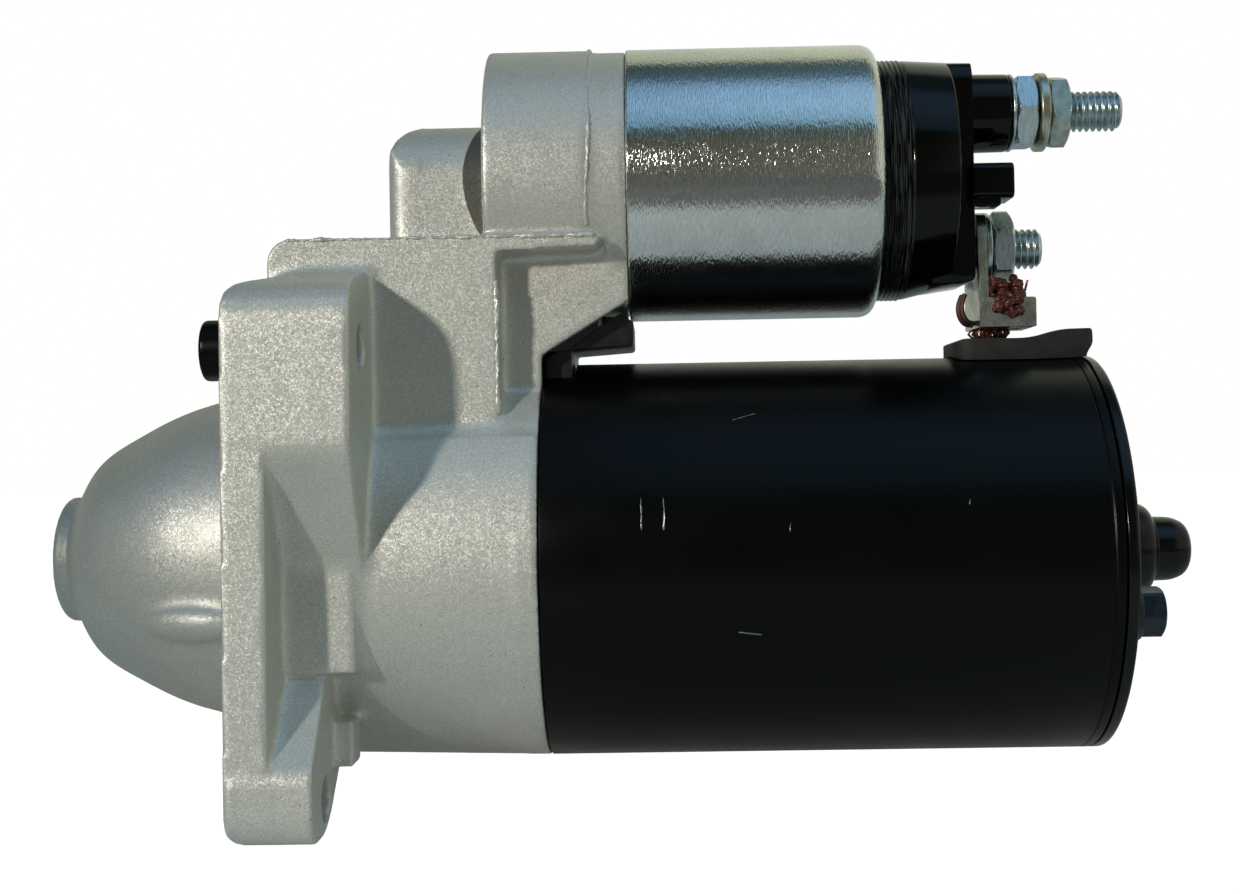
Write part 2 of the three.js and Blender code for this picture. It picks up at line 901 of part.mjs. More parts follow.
// ---------- plunger and magnet coil ----------
const PLUNGER_BACK = 86;

function plunger() {
  const place = { z: SOL_Z, sides: 20 };
  const eyeR = 6;
  const body = turned(
    [
      [TIP_X - 4.55, 0],
      [TIP_X - 4.55, eyeR],
      [36, eyeR],
      [36, 5],
      [46.5, 5],
      [46.5, 13.4],
      [48.5, 13.4],
      [48.5, 9],
      [PLUNGER_BACK, 9],
      [PLUNGER_BACK, 0],
    ],
    place,
  );
  const slot = block([TIP_X - 2.95, TIP_X + 2.95], [-3.4, 3.4], [SOL_Z - 9, SOL_Z + 9]);
  return cut(body, slot);
}

function returnSpring() {
  const turns = 4;
  const perTurn = 10;
  const start = 49.8;
  const end = 68.4;
  const points = [];
  const coilR = 11.4;
  for (let i = 0; i <= turns * perTurn; i++) {
    const angle = (2 * PI * i) / perTurn;
    const x = start + ((end - start) * i) / (turns * perTurn);
    points.push(new THREE.Vector3(x, coilR * Math.cos(angle), SOL_Z + coilR * Math.sin(angle)));
  }
  const wire = new THREE.Shape().absarc(0, 0, 0.75, 0, 2 * PI);
  const path = new THREE.CatmullRomCurve3(points);
  const steps = turns * perTurn;
  return solid(new THREE.ExtrudeGeometry(wire, { steps, curveSegments: 3, extrudePath: path }));
}

function solenoidCoil() {
  return turned(
    [
      [72.6, 9.7],
      [72.6, 23],
      [74.4, 23],
      [74.4, 21.5],
      [98.2, 21.5],
      [98.2, 23],
      [100, 23],
      [100, 9.7],
    ],
    { z: SOL_Z, sides: 24 },
  );
}

function solenoidCore() {
  return turned(
    [
      [94.6, 2.4],
      [94.6, 9],
      [100.4, 9],
      [100.4, 23],
      [106.4, 23],
      [106.4, 2.4],
    ],
    { z: SOL_Z, sides: 24 },
  );
}

function contactBridge() {
  const place = { z: SOL_Z, sides: 10 };
  const bar = outline([
    [-5, SOL_Z - 16.5, 3],
    [5, SOL_Z - 16.5, 3],
    [5, SOL_Z + 16.5, 3],
    [-5, SOL_Z + 16.5, 3],
  ]);
  return join(rod(96, 118, 2, place), alongX(bar, [117, 119]));
}

function solenoidScrew(angle) {
  const place = { ...screwPlace(angle), sides: 10 };
  return join(rod(60, 71.6, 2.3, place), rod(57.6, 61.6, 4.2, place));
}

// ---------- drive ----------
function outputShaft() {
  const core = turned([
    [-39, 0],
    [-39, 5.9],
    [-31, 5.9],
    [-31, 6.4],
    [19, 6.4],
    [19, 8],
    [58.6, 8],
    [58.6, 19],
    [60, 19],
    [60, 4.4],
    [52.5, 4.4],
    [52.5, 0],
  ]);
  const pins = [0, 1, 2].map((i) => {
    const angle = (i * 2 * PI) / 3;
    return rod(59, 72.6, 2.6, {
      y: PLANET_ORBIT * Math.cos(angle),
      z: PLANET_ORBIT * Math.sin(angle),
      sides: 10,
    });
  });
  return join(core, ...pins);
}

const stopRing = () => tube(-30.4, -28.2, 6.7, 9.6, { sides: 24 });
const noseBush = () => tube(-39.2, -31.6, 6.2, 9, { sides: 24 });
const rearBush = () => tube(REAR_X - 0.6, REAR_X + 7.6, 4.4, 6.5, { sides: 24 });

function pinion() {
  const { module, teeth } = PINION;
  const pitchR = (module * teeth) / 2;
  const gear = { module, teeth, phase: 0, tip: pitchR + 0.8 * module, root: pitchR - 1.1 * module };
  const toothed = alongX(gearOutline(gear, 0.12), [-13, 2.8]);
  const lead = turned(
    [
      [-13.1, 0],
      [-13.1, pitchR - 1],
      [-10.5, pitchR + module],
      [4, pitchR + module],
      [4, 0],
    ],
    { sides: 24 },
  );
  return cut(join(common(toothed, lead), rod(2.6, 9.6, 12.1)), rod(-20, 20, 6.8, { sides: 24 }));
}

function clutchBarrel() {
  return turned([
    [10, 8.4],
    [10, 12.5],
    [3.5, 12.5],
    [3.5, 21.4],
    [4.6, 22.8],
    [21, 22.8],
    [22.4, 21.6],
    [25, 21.6],
    [25, 12],
    [GROOVE_X + 4.6, 12],
    [GROOVE_X + 4.6, 8.4],
  ]);
}

function shiftCollar() {
  const [front, back] = [GROOVE_X - 2.7, GROOVE_X + 2.7];
  return turned([
    [front - 1.7, 12.4],
    [front - 1.7, 17.4],
    [front, 17.4],
    [front, 13],
    [back, 13],
    [back, 17.4],
    [back + 1.2, 17.4],
    [back + 1.2, 12.4],
  ]);
}

// The bearing plate between housing and gears, with a hub for the output shaft.
function gearboxPlate() {
  const plate = turned([
    [PLATE_X, 8.1],
    [PLATE_X, 34.2],
    [PLATE_X + 4.4, 34.2],
    [PLATE_X + 4.4, 11.4],
    [58.2, 11.4],
    [58.2, 8.1],
  ]);
  const holes = [1, -1].map((side) => rod(40, 60, 3, { ...boltPlace(side), sides: 10 }));
  return cut(plate, ...holes);
}

function ringGear() {
  const pitchR = (GEAR_MODULE * RING_TEETH) / 2;
  const space = {
    module: GEAR_MODULE,
    teeth: RING_TEETH,
    phase: PI / RING_TEETH,
    tip: pitchR + 1.25 * GEAR_MODULE,
    root: pitchR - GEAR_MODULE,
  };
  return cut(rod(PLATE_X + 4.8, 74, 27.4), alongX(gearOutline(space, -GEAR_SLACK), [50, 75]));
}

// Each planet is turned so that its teeth fit between those of the sun.
function planetGear(i) {
  const bearing = (i * 2 * PI) / 3;
  const offset = ((bearing * SUN_TEETH) / (2 * PI)) % 1;
  const phase = bearing + PI - ((2 * PI) / PLANET_TEETH) * (0.5 - offset);
  const gear = spurGear(GEAR_MODULE, PLANET_TEETH, phase);
  const wheel = alongX(gearOutline(gear, GEAR_SLACK), [60.4, 71.6]);
  const bored = cut(wheel, rod(60, 72, 2.9, { sides: 10 }));
  return bored.translate([0, PLANET_ORBIT * Math.cos(bearing), PLANET_ORBIT * Math.sin(bearing)]);
}

// ---------- armature ----------
function armatureShaft() {
  const shaft = turned([
    [53, 0],
    [53, 4],
    [60.4, 4],
    [60.4, 4.5],
    [73, 4.5],
    [73, 6.4],
    [REAR_X - 3, 6.4],
    [REAR_X - 3, 4.1],
    [REAR_X + 9, 4.1],
    [REAR_X + 9, 0],
  ]);
  const sun = alongX(gearOutline(spurGear(GEAR_MODULE, SUN_TEETH), GEAR_SLACK), [60.6, 72.4]);
  return join(shaft, sun);
}

// Laminated core with open slots along its length.
function armatureCore() {
  const slots = 15;
  const cutters = [];
  for (let i = 0; i < slots; i++) {
    const slot = block([80, 140], [24.2, 29], [-1.2, 1.2]);
    cutters.push(slot.rotate([(360 * i) / slots, 0, 0]));
  }
  return cut(tube(86, 128, 6.7, 27.2), ...cutters);
}

// The winding's turns at each end of the core.
function frontWinding() {
  return turned([
    [78, 7],
    [78, 20],
    [80, 23.4],
    [85.6, 23.4],
    [85.6, 7],
  ]);
}

function rearWinding() {
  return turned([
    [128.4, 7],
    [128.4, 23.4],
    [132, 23],
    [135.6, 17.4],
    [135.6, 7],
  ]);
}

const commutator = () => tube(136, 153.6, 6.7, 16, { sides: 24 });

// ---------- magnets and brushes ----------
function magnet(i) {
  const span = (44 * PI) / 180;
  const shape = new THREE.Shape();
  shape.absarc(0, 0, 34.4, -span / 2, span / 2, false);
  shape.absarc(0, 0, 28.2, span / 2, -span / 2, true);
  shape.closePath();
  const middle = 48 + 60 * i;
  return alongX(shape, [82, 130], 5).rotate([middle, 0, 0]);
}

const BRUSH = { x: [139, 151], half: 3.8, r: [16.3, 28] };
const BRUSH_ANGLES = [63, 153, 243, 333];

function brush(i) {
  const bar = block(BRUSH.x, BRUSH.r, [-BRUSH.half, BRUSH.half]);
  return bar.rotate([BRUSH_ANGLES[i], 0, 0]);
}

function brushHolder() {
  const plate = tube(153.4, 155.4, 17.5, 33.6);
  const boxes = BRUSH_ANGLES.map((angle) => {
    const outer = block([137.4, 154], [17.2, 31.8], [-5.6, 5.6]);
    const inner = block([138.6, 151.4], [10, 40], [-4.1, 4.1]);
    return cut(outer, inner).rotate([angle, 0, 0]);
  });
  const holes = [1, -1].map((side) => rod(150, 160, 3, { ...boltPlace(side), sides: 10 }));
  return cut(join(plate, ...boxes), ...holes);
}

// ---------- assembly ----------
const starter = new THREE.Group();

function add(name, shape, material) {
  const { vertProperties, triVerts } = shape.getMesh();
  const geometry = new THREE.BufferGeometry();
  geometry.setAttribute("position", new THREE.BufferAttribute(vertProperties, 3));
  geometry.setIndex(new THREE.BufferAttribute(triVerts, 1));
  geometry.computeVertexNormals();
  const mesh = new THREE.Mesh(geometry, material);
  mesh.name = name;
  starter.add(mesh);
}

add("drive_end_housing", driveEndHousing(), CAST);
add("locating_sleeve", locatingSleeve(), BLACK_PAINT);
add("nose_bush", noseBush(), BRONZE);

add("yoke_tube", yokeTube(), BLACK_PAINT);
add("end_cover", endCover(), BLACK_PAINT);
add("rear_bush", rearBush(), BRONZE);
add("through_bolt_1", throughBolt(1), DARK_STEEL);
add("through_bolt_2", throughBolt(-1), DARK_STEEL);

add("solenoid_can", solenoidCan(), ZINC);
add("solenoid_cap", solenoidCap(), MOULDED);
add("solenoid_coil", solenoidCoil(), COPPER);
add("solenoid_core", solenoidCore(), STEEL);
add("contact_bridge", contactBridge(), COPPER);
SCREW_ANGLES.forEach((angle, i) => add(`solenoid_screw_${i + 1}`, solenoidScrew(angle), ZINC));

add("battery_stud", stud(BATTERY_Z, BATTERY_TIP, STUD_HEAD_X), ZINC);
add("battery_washer", washer(144, 144.7, 7.5, BATTERY_Z), ZINC);
add("battery_nut_inner", nut(144.9, 149.2, BATTERY_Z, 0.52), ZINC);
add("battery_lock_washer", washer(149.4, 151.2, 7.6, BATTERY_Z), ZINC);
add("battery_nut_outer", nut(151.4, 155.4, BATTERY_Z, 0.2), ZINC);
add("motor_stud", stud(MOTOR_Z, MOTOR_TIP, STUD_HEAD_X), ZINC);
add("motor_lock_washer", washer(138.7, 139.7, 7.2, MOTOR_Z), ZINC);
add("motor_nut", nut(140, 144.2, MOTOR_Z, 0.3), ZINC);
add("switch_blade", block([127.4, 142], [-9, -6.6], [70.2, 71.8]), ZINC);

add("cable_lug", cableLug(), ZINC);
add("motor_lead", motorLead(), COPPER);
add("lead_grommet", leadGrommet(), RUBBER);

add("lever_bracket", leverBracket(), RUBBER);
add("lever_pin", leverPin(), STEEL);
add("shift_lever", shiftLever(), NYLON);
add("plunger", plunger(), STEEL);
add("return_spring", returnSpring(), DARK_STEEL);

add("output_shaft", outputShaft(), STEEL);
add("stop_ring", stopRing(), STEEL);
add("shift_collar", shiftCollar(), NYLON);
add("clutch_barrel", clutchBarrel(), DARK_STEEL);
add("pinion", pinion(), STEEL);

add("gearbox_plate", gearboxPlate(), STEEL);
add("ring_gear", ringGear(), NYLON);
[0, 1, 2].forEach((i) => add(`planet_gear_${i + 1}`, planetGear(i), STEEL));

add("armature_shaft", armatureShaft(), STEEL);
add("armature_core", armatureCore(), DARK_STEEL);
add("winding_front", frontWinding(), COPPER);
add("winding_rear", rearWinding(), COPPER);
add("commutator", commutator(), COPPER);
[0, 1, 2, 3, 4, 5].forEach((i) => add(`magnet_${i + 1}`, magnet(i), FERRITE));
add("brush_holder", brushHolder(), STEEL);
[0, 1, 2, 3].forEach((i) => add(`brush_${i + 1}`, brush(i), CARBON));

export default starter;
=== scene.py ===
"""Planetary gear-reduction starter motor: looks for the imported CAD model.

Shapes are drawn in millimetres in the CAD's own frame and scaled to metres as each mesh is made.
+X runs from the pinion end to the commutator end, +Z points at the solenoid.
"""
import json
import math
import random

import bmesh
import bpy
import numpy as np
from mathutils import Matrix, Vector


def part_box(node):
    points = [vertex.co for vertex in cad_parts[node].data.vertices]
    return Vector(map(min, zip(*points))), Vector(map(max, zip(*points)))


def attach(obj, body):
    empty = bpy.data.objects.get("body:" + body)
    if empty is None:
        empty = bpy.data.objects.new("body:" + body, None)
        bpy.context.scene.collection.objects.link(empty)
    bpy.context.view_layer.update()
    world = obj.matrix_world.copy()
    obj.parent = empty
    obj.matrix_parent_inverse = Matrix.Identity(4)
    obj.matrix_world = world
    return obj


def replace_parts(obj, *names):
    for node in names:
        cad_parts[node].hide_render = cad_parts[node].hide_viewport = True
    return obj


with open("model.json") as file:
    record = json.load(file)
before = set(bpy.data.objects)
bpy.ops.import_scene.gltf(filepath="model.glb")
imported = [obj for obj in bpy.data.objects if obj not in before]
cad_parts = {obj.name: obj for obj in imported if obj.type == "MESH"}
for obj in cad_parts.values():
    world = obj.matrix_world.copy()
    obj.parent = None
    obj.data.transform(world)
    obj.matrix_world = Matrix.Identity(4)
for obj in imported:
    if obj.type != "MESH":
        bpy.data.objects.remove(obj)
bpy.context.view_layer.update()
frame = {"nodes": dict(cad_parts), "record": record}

MM = 0.001
RECORD = frame["record"]
SLOT_OF = {row["node"]: row["material_slot"] for row in RECORD["subparts"]}
BODY_OF = {node: body for body, nodes in RECORD["behaviour"]["bodies"].items() for node in nodes}


def span(node):
    """Lowest and highest corner of a CAD node, in millimetres."""
    low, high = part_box(node)
    return low / MM, high / MM


# ---------- driving dimensions, mostly read from the frame ----------
YOKE_LOW, YOKE_HIGH = span("yoke_tube")
YOKE_R = YOKE_HIGH.y
YOKE_X = (YOKE_LOW.x, YOKE_HIGH.x)
COVER_X = span("end_cover")[0].x
REAR_X = YOKE_X[1] + 2.5
CAN_LOW, CAN_HIGH = span("solenoid_can")
SOL_R = CAN_HIGH.y
SOL_Z = (CAN_LOW.z + CAN_HIGH.z) / 2
CAN_X = (CAN_LOW.x, CAN_HIGH.x)
CAP_R = 23.2
CAP_ROUND_X = 131.3  # where the cap's round part ends
CAP_HOLLOW_X = 127.0  # end of its hollow
CAP_BLOCK_X = 135.8  # back of its terminal block
STEM_X = 143.8  # end of the battery stud's stem
BATTERY_Z = sum(corner.z for corner in span("battery_washer")) / 2
MOTOR_Z = sum(corner.z for corner in span("motor_lock_washer")) / 2
STUD_R = 3.9
THREAD_PITCH = 1.25
NUT_AF = 13
SLEEVE_LOW, SLEEVE_HIGH = span("locating_sleeve")
UPPER_EAR = ((SLEEVE_LOW.y + SLEEVE_HIGH.y) / 2, (SLEEVE_LOW.z + SLEEVE_HIGH.z) / 2)
LOWER_EAR = (-38, -39.4)
FAR_EAR = (50, 4)
BARREL_R = 37
NOSE_R = 12.2
NOSE_RISE = 1.4
SADDLE_X = 43.1  # front end of the solenoid saddle
BLOCK_R = 12.25  # half width of the small block ahead of it
SHELF_Z = 60.7
BOLT_R = 30.5
BOLT_ANGLE = math.radians(18)
FLOOR_Z = -45.7


# ---------- outlines and meshes ----------
def outline(corners, steps=5, closed=True):
    """Corners (u, v, cut): each corner is rounded off over the length cut."""
    points = []
    last = len(corners) - 1
    for i, corner in enumerate(corners):
        here = Vector(corner[:2])
        length = corner[2] if len(corner) > 2 else 0
        if not length or (not closed and i in (0, last)):
            points.append(tuple(here))
            continue
        before = (Vector(corners[i - 1][:2]) - here).normalized() * length
        after = (Vector(corners[(i + 1) % (last + 1)][:2]) - here).normalized() * length
        for k in range(steps + 1):
            t = k / steps
            points.append(tuple(here + before * (1 - t) ** 2 + after * t**2))
    return points


def to_object(name, bm):
    bmesh.ops.remove_doubles(bm, verts=bm.verts, dist=1e-5)
    bmesh.ops.recalc_face_normals(bm, faces=bm.faces)
    bmesh.ops.scale(bm, vec=(MM, MM, MM), verts=bm.verts)
    mesh = bpy.data.meshes.new(name)
    bm.to_mesh(mesh)
    bm.free()
    obj = bpy.data.objects.new(name, mesh)
    bpy.context.scene.collection.objects.link(obj)
    return obj


def skin(bm, rings, closed_round=True, closed_along=False):
    """Quads between rings of vertices; a ring of one vertex is a fan's centre."""
    pairs = list(zip(rings, rings[1:] + rings[:1])) if closed_along else list(zip(rings, rings[1:]))
    for a, b in pairs:
        count = max(len(a), len(b))
        for i in range(count if closed_round else count - 1):
            j = (i + 1) % count
            corners = [a[i % len(a)], b[i % len(b)], b[j % len(b)], a[j % len(a)]]
            unique = list(dict.fromkeys(corners))
            if len(unique) > 2:
                bm.faces.new(unique)


def lathe(name, profile, y=0.0, z=0.0, segments=144, closed=False):
    """A profile of (x, radius) turned about a line along X: closed, or with its ends on the axis."""
    return surface(name, [(x, lambda angle, r=r: r) for x, r in profile], y, z, segments, closed)


def surface(name, stations, y=0.0, z=0.0, segments=96, closed=False):
    """Rings about a line along X: each station is (x, radius as a function of the angle)."""
    bm = bmesh.new()
    angles = [2 * math.pi * i / segments for i in range(segments)]
    rings = []
    for x, radius in stations:
        radii = [radius(angle) for angle in angles]
        if max(radii) < 1e-6:
            rings.append([bm.verts.new((x, y, z))])
        else:
            points = [(x, y + r * math.cos(a), z + r * math.sin(a)) for a, r in zip(angles, radii)]
            rings.append([bm.verts.new(point) for point in points])
    skin(bm, rings, closed_along=closed)
    return to_object(name, bm)


AXES = {"x": ("y", "z"), "y": ("x", "z"), "z": ("x", "y")}


def prism(name, points, along, low, high):
    """An outline extruded along one axis; the outline's coordinates are the other two, in order."""
    bm = bmesh.new()
    first, second = AXES[along]
    rings = []
    for level in (low, high):
        places = [{first: u, second: v, along: level} for u, v in points]
        rings.append([bm.verts.new([place[axis] for axis in "xyz"]) for place in places])
    skin(bm, rings)
    for ring in rings:
        bm.faces.new(ring)
    return to_object(name, bm)


def box(name, x, y, z):
    return prism(name, [(x[0], y[0]), (x[1], y[0]), (x[1], y[1]), (x[0], y[1])], "z", *z)


def copy_of(node, name):
    """The CAD node's mesh as a new object, with its split vertices merged and flat faces whole again."""
    bm = bmesh.new()
    bm.from_mesh(frame["nodes"][node].data)
    bmesh.ops.remove_doubles(bm, verts=bm.verts, dist=2e-6)
    bmesh.ops.dissolve_limit(bm, angle_limit=math.radians(0.5), verts=bm.verts, edges=bm.edges)
    mesh = bpy.data.meshes.new(name)
    bm.to_mesh(mesh)
    bm.free()
    obj = bpy.data.objects.new(name, mesh)
    bpy.context.scene.collection.objects.link(obj)
    return obj


# ---------- modifiers ----------
def apply(obj, kind, **settings):
    modifier = obj.modifiers.new(kind.lower(), kind)
    for key, value in settings.items():
        setattr(modifier, key, value)
    graph = bpy.context.evaluated_depsgraph_get()
    mesh = bpy.data.meshes.new_from_object(obj.evaluated_get(graph))
    obj.modifiers.clear()
    old = obj.data
    obj.data = mesh
    bpy.data.meshes.remove(old)
    return obj


def combine(obj, operation, others):
    for other in others:
        apply(obj, "BOOLEAN", operation=operation, object=other, solver="EXACT")
        bpy.data.objects.remove(other)
    return obj


def carve(obj, *cutters):
    return combine(obj, "DIFFERENCE", cutters)


def keep_in(obj, *limits):
    return combine(obj, "INTERSECT", limits)


def bevelled(obj, width, segments=3, angle=32):
    return apply(obj, "BEVEL", width=width * MM, segments=segments, limit_method="ANGLE",
                 angle_limit=math.radians(angle), harden_normals=False, use_clamp_overlap=True)


def merged(name, objects):
    """All the objects' meshes as one object."""
    bm = bmesh.new()
    for obj in objects:
        bm.from_mesh(obj.data)
        bpy.data.objects.remove(obj)
    mesh = bpy.data.meshes.new(name)
    bm.to_mesh(mesh)
    bm.free()
    result = bpy.data.objects.new(name, mesh)
    bpy.context.scene.collection.objects.link(result)
    return result


# ---------- dressing ----------
LOOKS = {}


def dress(obj, look, sharp=35):
    obj.data.materials.clear()
    obj.data.materials.append(look)
    obj.data.shade_smooth()
    obj.data.set_sharp_from_angle(angle=math.radians(sharp))
    return obj


def belongs(obj, node, look=None, sharp=35):
    """The piece rides with the CAD node's body and has its slot and finish, or another look."""
    dress(obj, look or LOOKS[SLOT_OF[node]], sharp)
    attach(obj, BODY_OF[node])
    return obj


def stands_for(obj, *nodes, look=None, sharp=35):
    belongs(obj, nodes[0], look, sharp)
    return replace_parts(obj, *nodes)


# ---------- materials ----------
def add_node(tree, kind, inputs=None, **settings):
    """A new shader node, with each input linked to a socket or set to a value."""
    node = tree.nodes.new(kind)
    for key, value in settings.items():
        setattr(node, key, value)
    for key, value in (inputs or {}).items():
        if isinstance(value, bpy.types.NodeSocket):
            tree.links.new(value, node.inputs[key])
        else:
            node.inputs[key].default_value = value
    return node


def map_range(tree, value, low, high, to_low=0.0, to_high=1.0):
    inputs = {"Value": value, "From Min": low, "From Max": high, "To Min": to_low, "To Max": to_high}
    return add_node(tree, "ShaderNodeMapRange", inputs).outputs["Result"]


def colour_ramp(tree, value, stops):
    """Maps a number to a colour, through (position, colour or grey) stops."""
    node = add_node(tree, "ShaderNodeValToRGB", {"Fac": value})
    elements = node.color_ramp.elements
    while len(elements) < len(stops):
        elements.new(0.5)
    for element, (position, colour) in zip(elements, stops):
        element.position = position
        element.color = (*colour, 1) if isinstance(colour, tuple) else (colour,) * 3 + (1,)
    return node.outputs["Color"]


def times(colour, factor):
    return tuple(factor * channel for channel in colour)


# A colour Mix node's sockets share their names with its other kinds, so they are found by number.
MIX_A, MIX_B, MIX_RESULT = 6, 7, 2


class Look:
    """A procedural material. Sizes are in millimetres; constants go straight on the shader's sockets."""

    def __init__(self, name, **constants):
        self.material = bpy.data.materials.new(name)
        self.material.use_nodes = True
        self.tree = self.material.node_tree
        self.shader = self.tree.nodes["Principled BSDF"]
        for key, value in constants.items():
            self.shader.inputs[key.replace("_", " ")].default_value = value
        self.place = self.add("ShaderNodeTexCoord").outputs["Object"]
        self.normal = None

    def add(self, kind, inputs=None, **settings):
        return add_node(self.tree, kind, inputs, **settings)

    def stretched(self, sizes):
        """Object coordinates in units of the given sizes along x, y and z."""
        scale = [1 / (size * MM) for size in sizes]
        return self.add("ShaderNodeMapping", {"Vector": self.place, "Scale": scale}).outputs["Vector"]

    def noise(self, size, detail=2.0, roughness=0.55, distortion=0.0):
        sizes = size if isinstance(size, tuple) else (size,) * 3
        inputs = {"Vector": self.stretched(sizes), "Scale": 1.0, "Detail": detail,
                  "Roughness": roughness, "Distortion": distortion}
        return self.add("ShaderNodeTexNoise", inputs).outputs["Fac"]

    def cells(self, size):
        """A random colour for each grain."""
        inputs = {"Vector": self.stretched((size,) * 3), "Scale": 1.0}
        return self.add("ShaderNodeTexVoronoi", inputs).outputs["Color"]

    def calculate(self, operation, *values):
        return self.add("ShaderNodeMath", dict(enumerate(values)), operation=operation).outputs[0]

    def ramp(self, value, *stops):
        return colour_ramp(self.tree, value, stops)

    def blend(self, factor, a, b):
        first, second = (c if isinstance(c, bpy.types.NodeSocket) else (*c, 1) for c in (a, b))
        inputs = {"Factor": factor, MIX_A: first, MIX_B: second}
        return self.add("ShaderNodeMix", inputs, data_type="RGBA").outputs[MIX_RESULT]

    def range(self, value, low, high, to_low, to_high):
        return map_range(self.tree, value, low, high, to_low, to_high)

    def relief(self, height, depth):
        """Adds bumps of that depth in millimetres on top of those already there."""
        inputs = {"Height": height, "Distance": depth * MM, "Strength": 1.0}
        if self.normal is not None:
            inputs["Normal"] = self.normal
        self.normal = self.add("ShaderNodeBump", inputs).outputs["Normal"]

    def glitter(self, size, amount):
        """Turns the normal a little in each grain, so that single grains catch the light."""
        centred = self.vector("SUBTRACT", {0: self.cells(size), 1: (0.5, 0.5, 0.5)})
        turned = self.vector("SCALE", {0: centred, "Scale": amount})
        self.normal = self.vector("NORMALIZE", {0: self.vector("ADD", {0: self.normal, 1: turned})})

    def vector(self, operation, inputs):
        return self.add("ShaderNodeVectorMath", inputs, operation=operation).outputs["Vector"]

    def done(self, colour, roughness):
        for name, socket in {"Base Color": colour, "Roughness": roughness, "Normal": self.normal}.items():
            self.tree.links.new(socket, self.shader.inputs[name])
        return self.material


def painted_shade_crescent(look):
    """Painted shade in a crescent on the small block's sides: its front edge bows forward at mid height."""
    middle_z = 73.5
    front_x = 38.2
    bow = 0.026
    edge = 0.2
    apart = look.add("ShaderNodeSeparateXYZ", {"Vector": look.place})
    x, y, z = (apart.outputs[axis] for axis in "XYZ")
    up = look.calculate("SUBTRACT", z, middle_z * MM)
    front = look.calculate("MULTIPLY_ADD", look.calculate("MULTIPLY", up, up), bow / MM, front_x * MM)
    share = look.range(look.calculate("SUBTRACT", x, front), 0, 0.15 * MM, 0, 1)
    limits = [
        look.range(x, (SADDLE_X - 2 * edge) * MM, (SADDLE_X - edge) * MM, 1, 0),
        look.range(look.calculate("ABSOLUTE", y), (BLOCK_R + 0.15) * MM, (BLOCK_R + 0.45) * MM, 1, 0),
        look.range(z, (SHELF_Z + 1.3) * MM, (SHELF_Z + 1.9) * MM, 0, 0.96),
    ]
    for limit in limits:
        share = look.calculate("MULTIPLY", share, limit)
    return share


def cast_aluminium():
    look = Look("cast_aluminium_grain_and_painted_shade", Metallic=0.62, Specular_IOR_Level=0.4)
    grain = look.noise(0.22, detail=1, roughness=0.6)
    cloud = look.noise(9, detail=4, roughness=0.6)
    pit = look.noise(0.8, detail=1)
    colour = look.ramp(grain, (0.3, (0.54, 0.535, 0.485)), (0.5, (0.68, 0.672, 0.615)),
                       (0.7, (0.84, 0.832, 0.77)))
    colour = look.blend(look.range(cloud, 0.35, 0.7, 0, 0.3), colour, (0.55, 0.548, 0.505))
    colour = look.blend(look.range(pit, 0.78, 0.81, 0, 0.7), colour, (0.12, 0.12, 0.105))
    # Painted shade: a dark crescent on the small block's sides stands in for shade.
    colour = look.blend(painted_shade_crescent(look), colour, (0.10, 0.10, 0.082))
    look.relief(grain, 0.022)
    look.glitter(0.26, 0.16)
    return look.done(colour, look.range(cloud, 0.3, 0.7, 0.42, 0.52))


def black_paint(name="black_enamel", rough=(0.26, 0.34), specular=0.17):
    tint = (0.0007, 0.0010, 0.0008)
    look = Look(name, Metallic=0.0, Specular_IOR_Level=specular)
    cloud = look.noise(14, detail=5)
    dust = look.noise(0.35, detail=2)
    colour = look.ramp(dust, (0.62, tint), (0.80, times(tint, 3)))
    colour = look.blend(look.range(cloud, 0.4, 0.75, 0, 0.6), colour, times(tint, 1.6))
    look.relief(look.noise(1.1, detail=2), 0.012)
    look.relief(dust, 0.006)
    return look.done(colour, look.range(cloud, 0.3, 0.7, *rough))


def zinc_plate(name="zinc_plate", tint=(0.66, 0.70, 0.72), sizes=(0.16, 5, 5), rough=(0.20, 0.42)):
    """Bright plating over turned steel: fine rings along the turning, with clouded passivation."""
    look = Look(name, Metallic=1.0)
    rings = look.noise(sizes, detail=2, roughness=0.7)
    cloud = look.noise(6, detail=4)
    fleck = look.noise((0.22, 1.1, 1.1), detail=2, roughness=0.8)
    stained = tuple(channel * share for channel, share in zip(tint, (0.72, 0.70, 0.60)))
    colour = look.ramp(rings, (0.3, times(tint, 0.62)), (0.62, tint))
    colour = look.blend(look.range(cloud, 0.45, 0.7, 0, 0.3), colour, stained)
    look.relief(rings, 0.010)
    look.relief(fleck, 0.016)
    return look.done(colour, look.range(fleck, 0.3, 0.75, *rough))


def hammered_zinc():
    """The can's plating: fine drawn ripples around it that break a lamp's reflection into sparkles."""
    look = Look("zinc_plate_can", Metallic=1.0)
    ripples = look.noise((0.2, 1.2, 1.2), detail=1, roughness=0.6)
    fine = look.noise((0.2, 0.8, 0.8), detail=1)
    cloud = look.noise(7, detail=4)
    colour = look.ramp(ripples, (0.3, (0.66, 0.68, 0.66)), (0.65, (0.84, 0.86, 0.85)))
    colour = look.blend(look.range(cloud, 0.45, 0.75, 0, 0.3), colour, (0.54, 0.55, 0.49))
    look.relief(ripples, 0.085)
    look.relief(fine, 0.012)
    return look.done(colour, look.range(cloud, 0.3, 0.7, 0.10, 0.17))


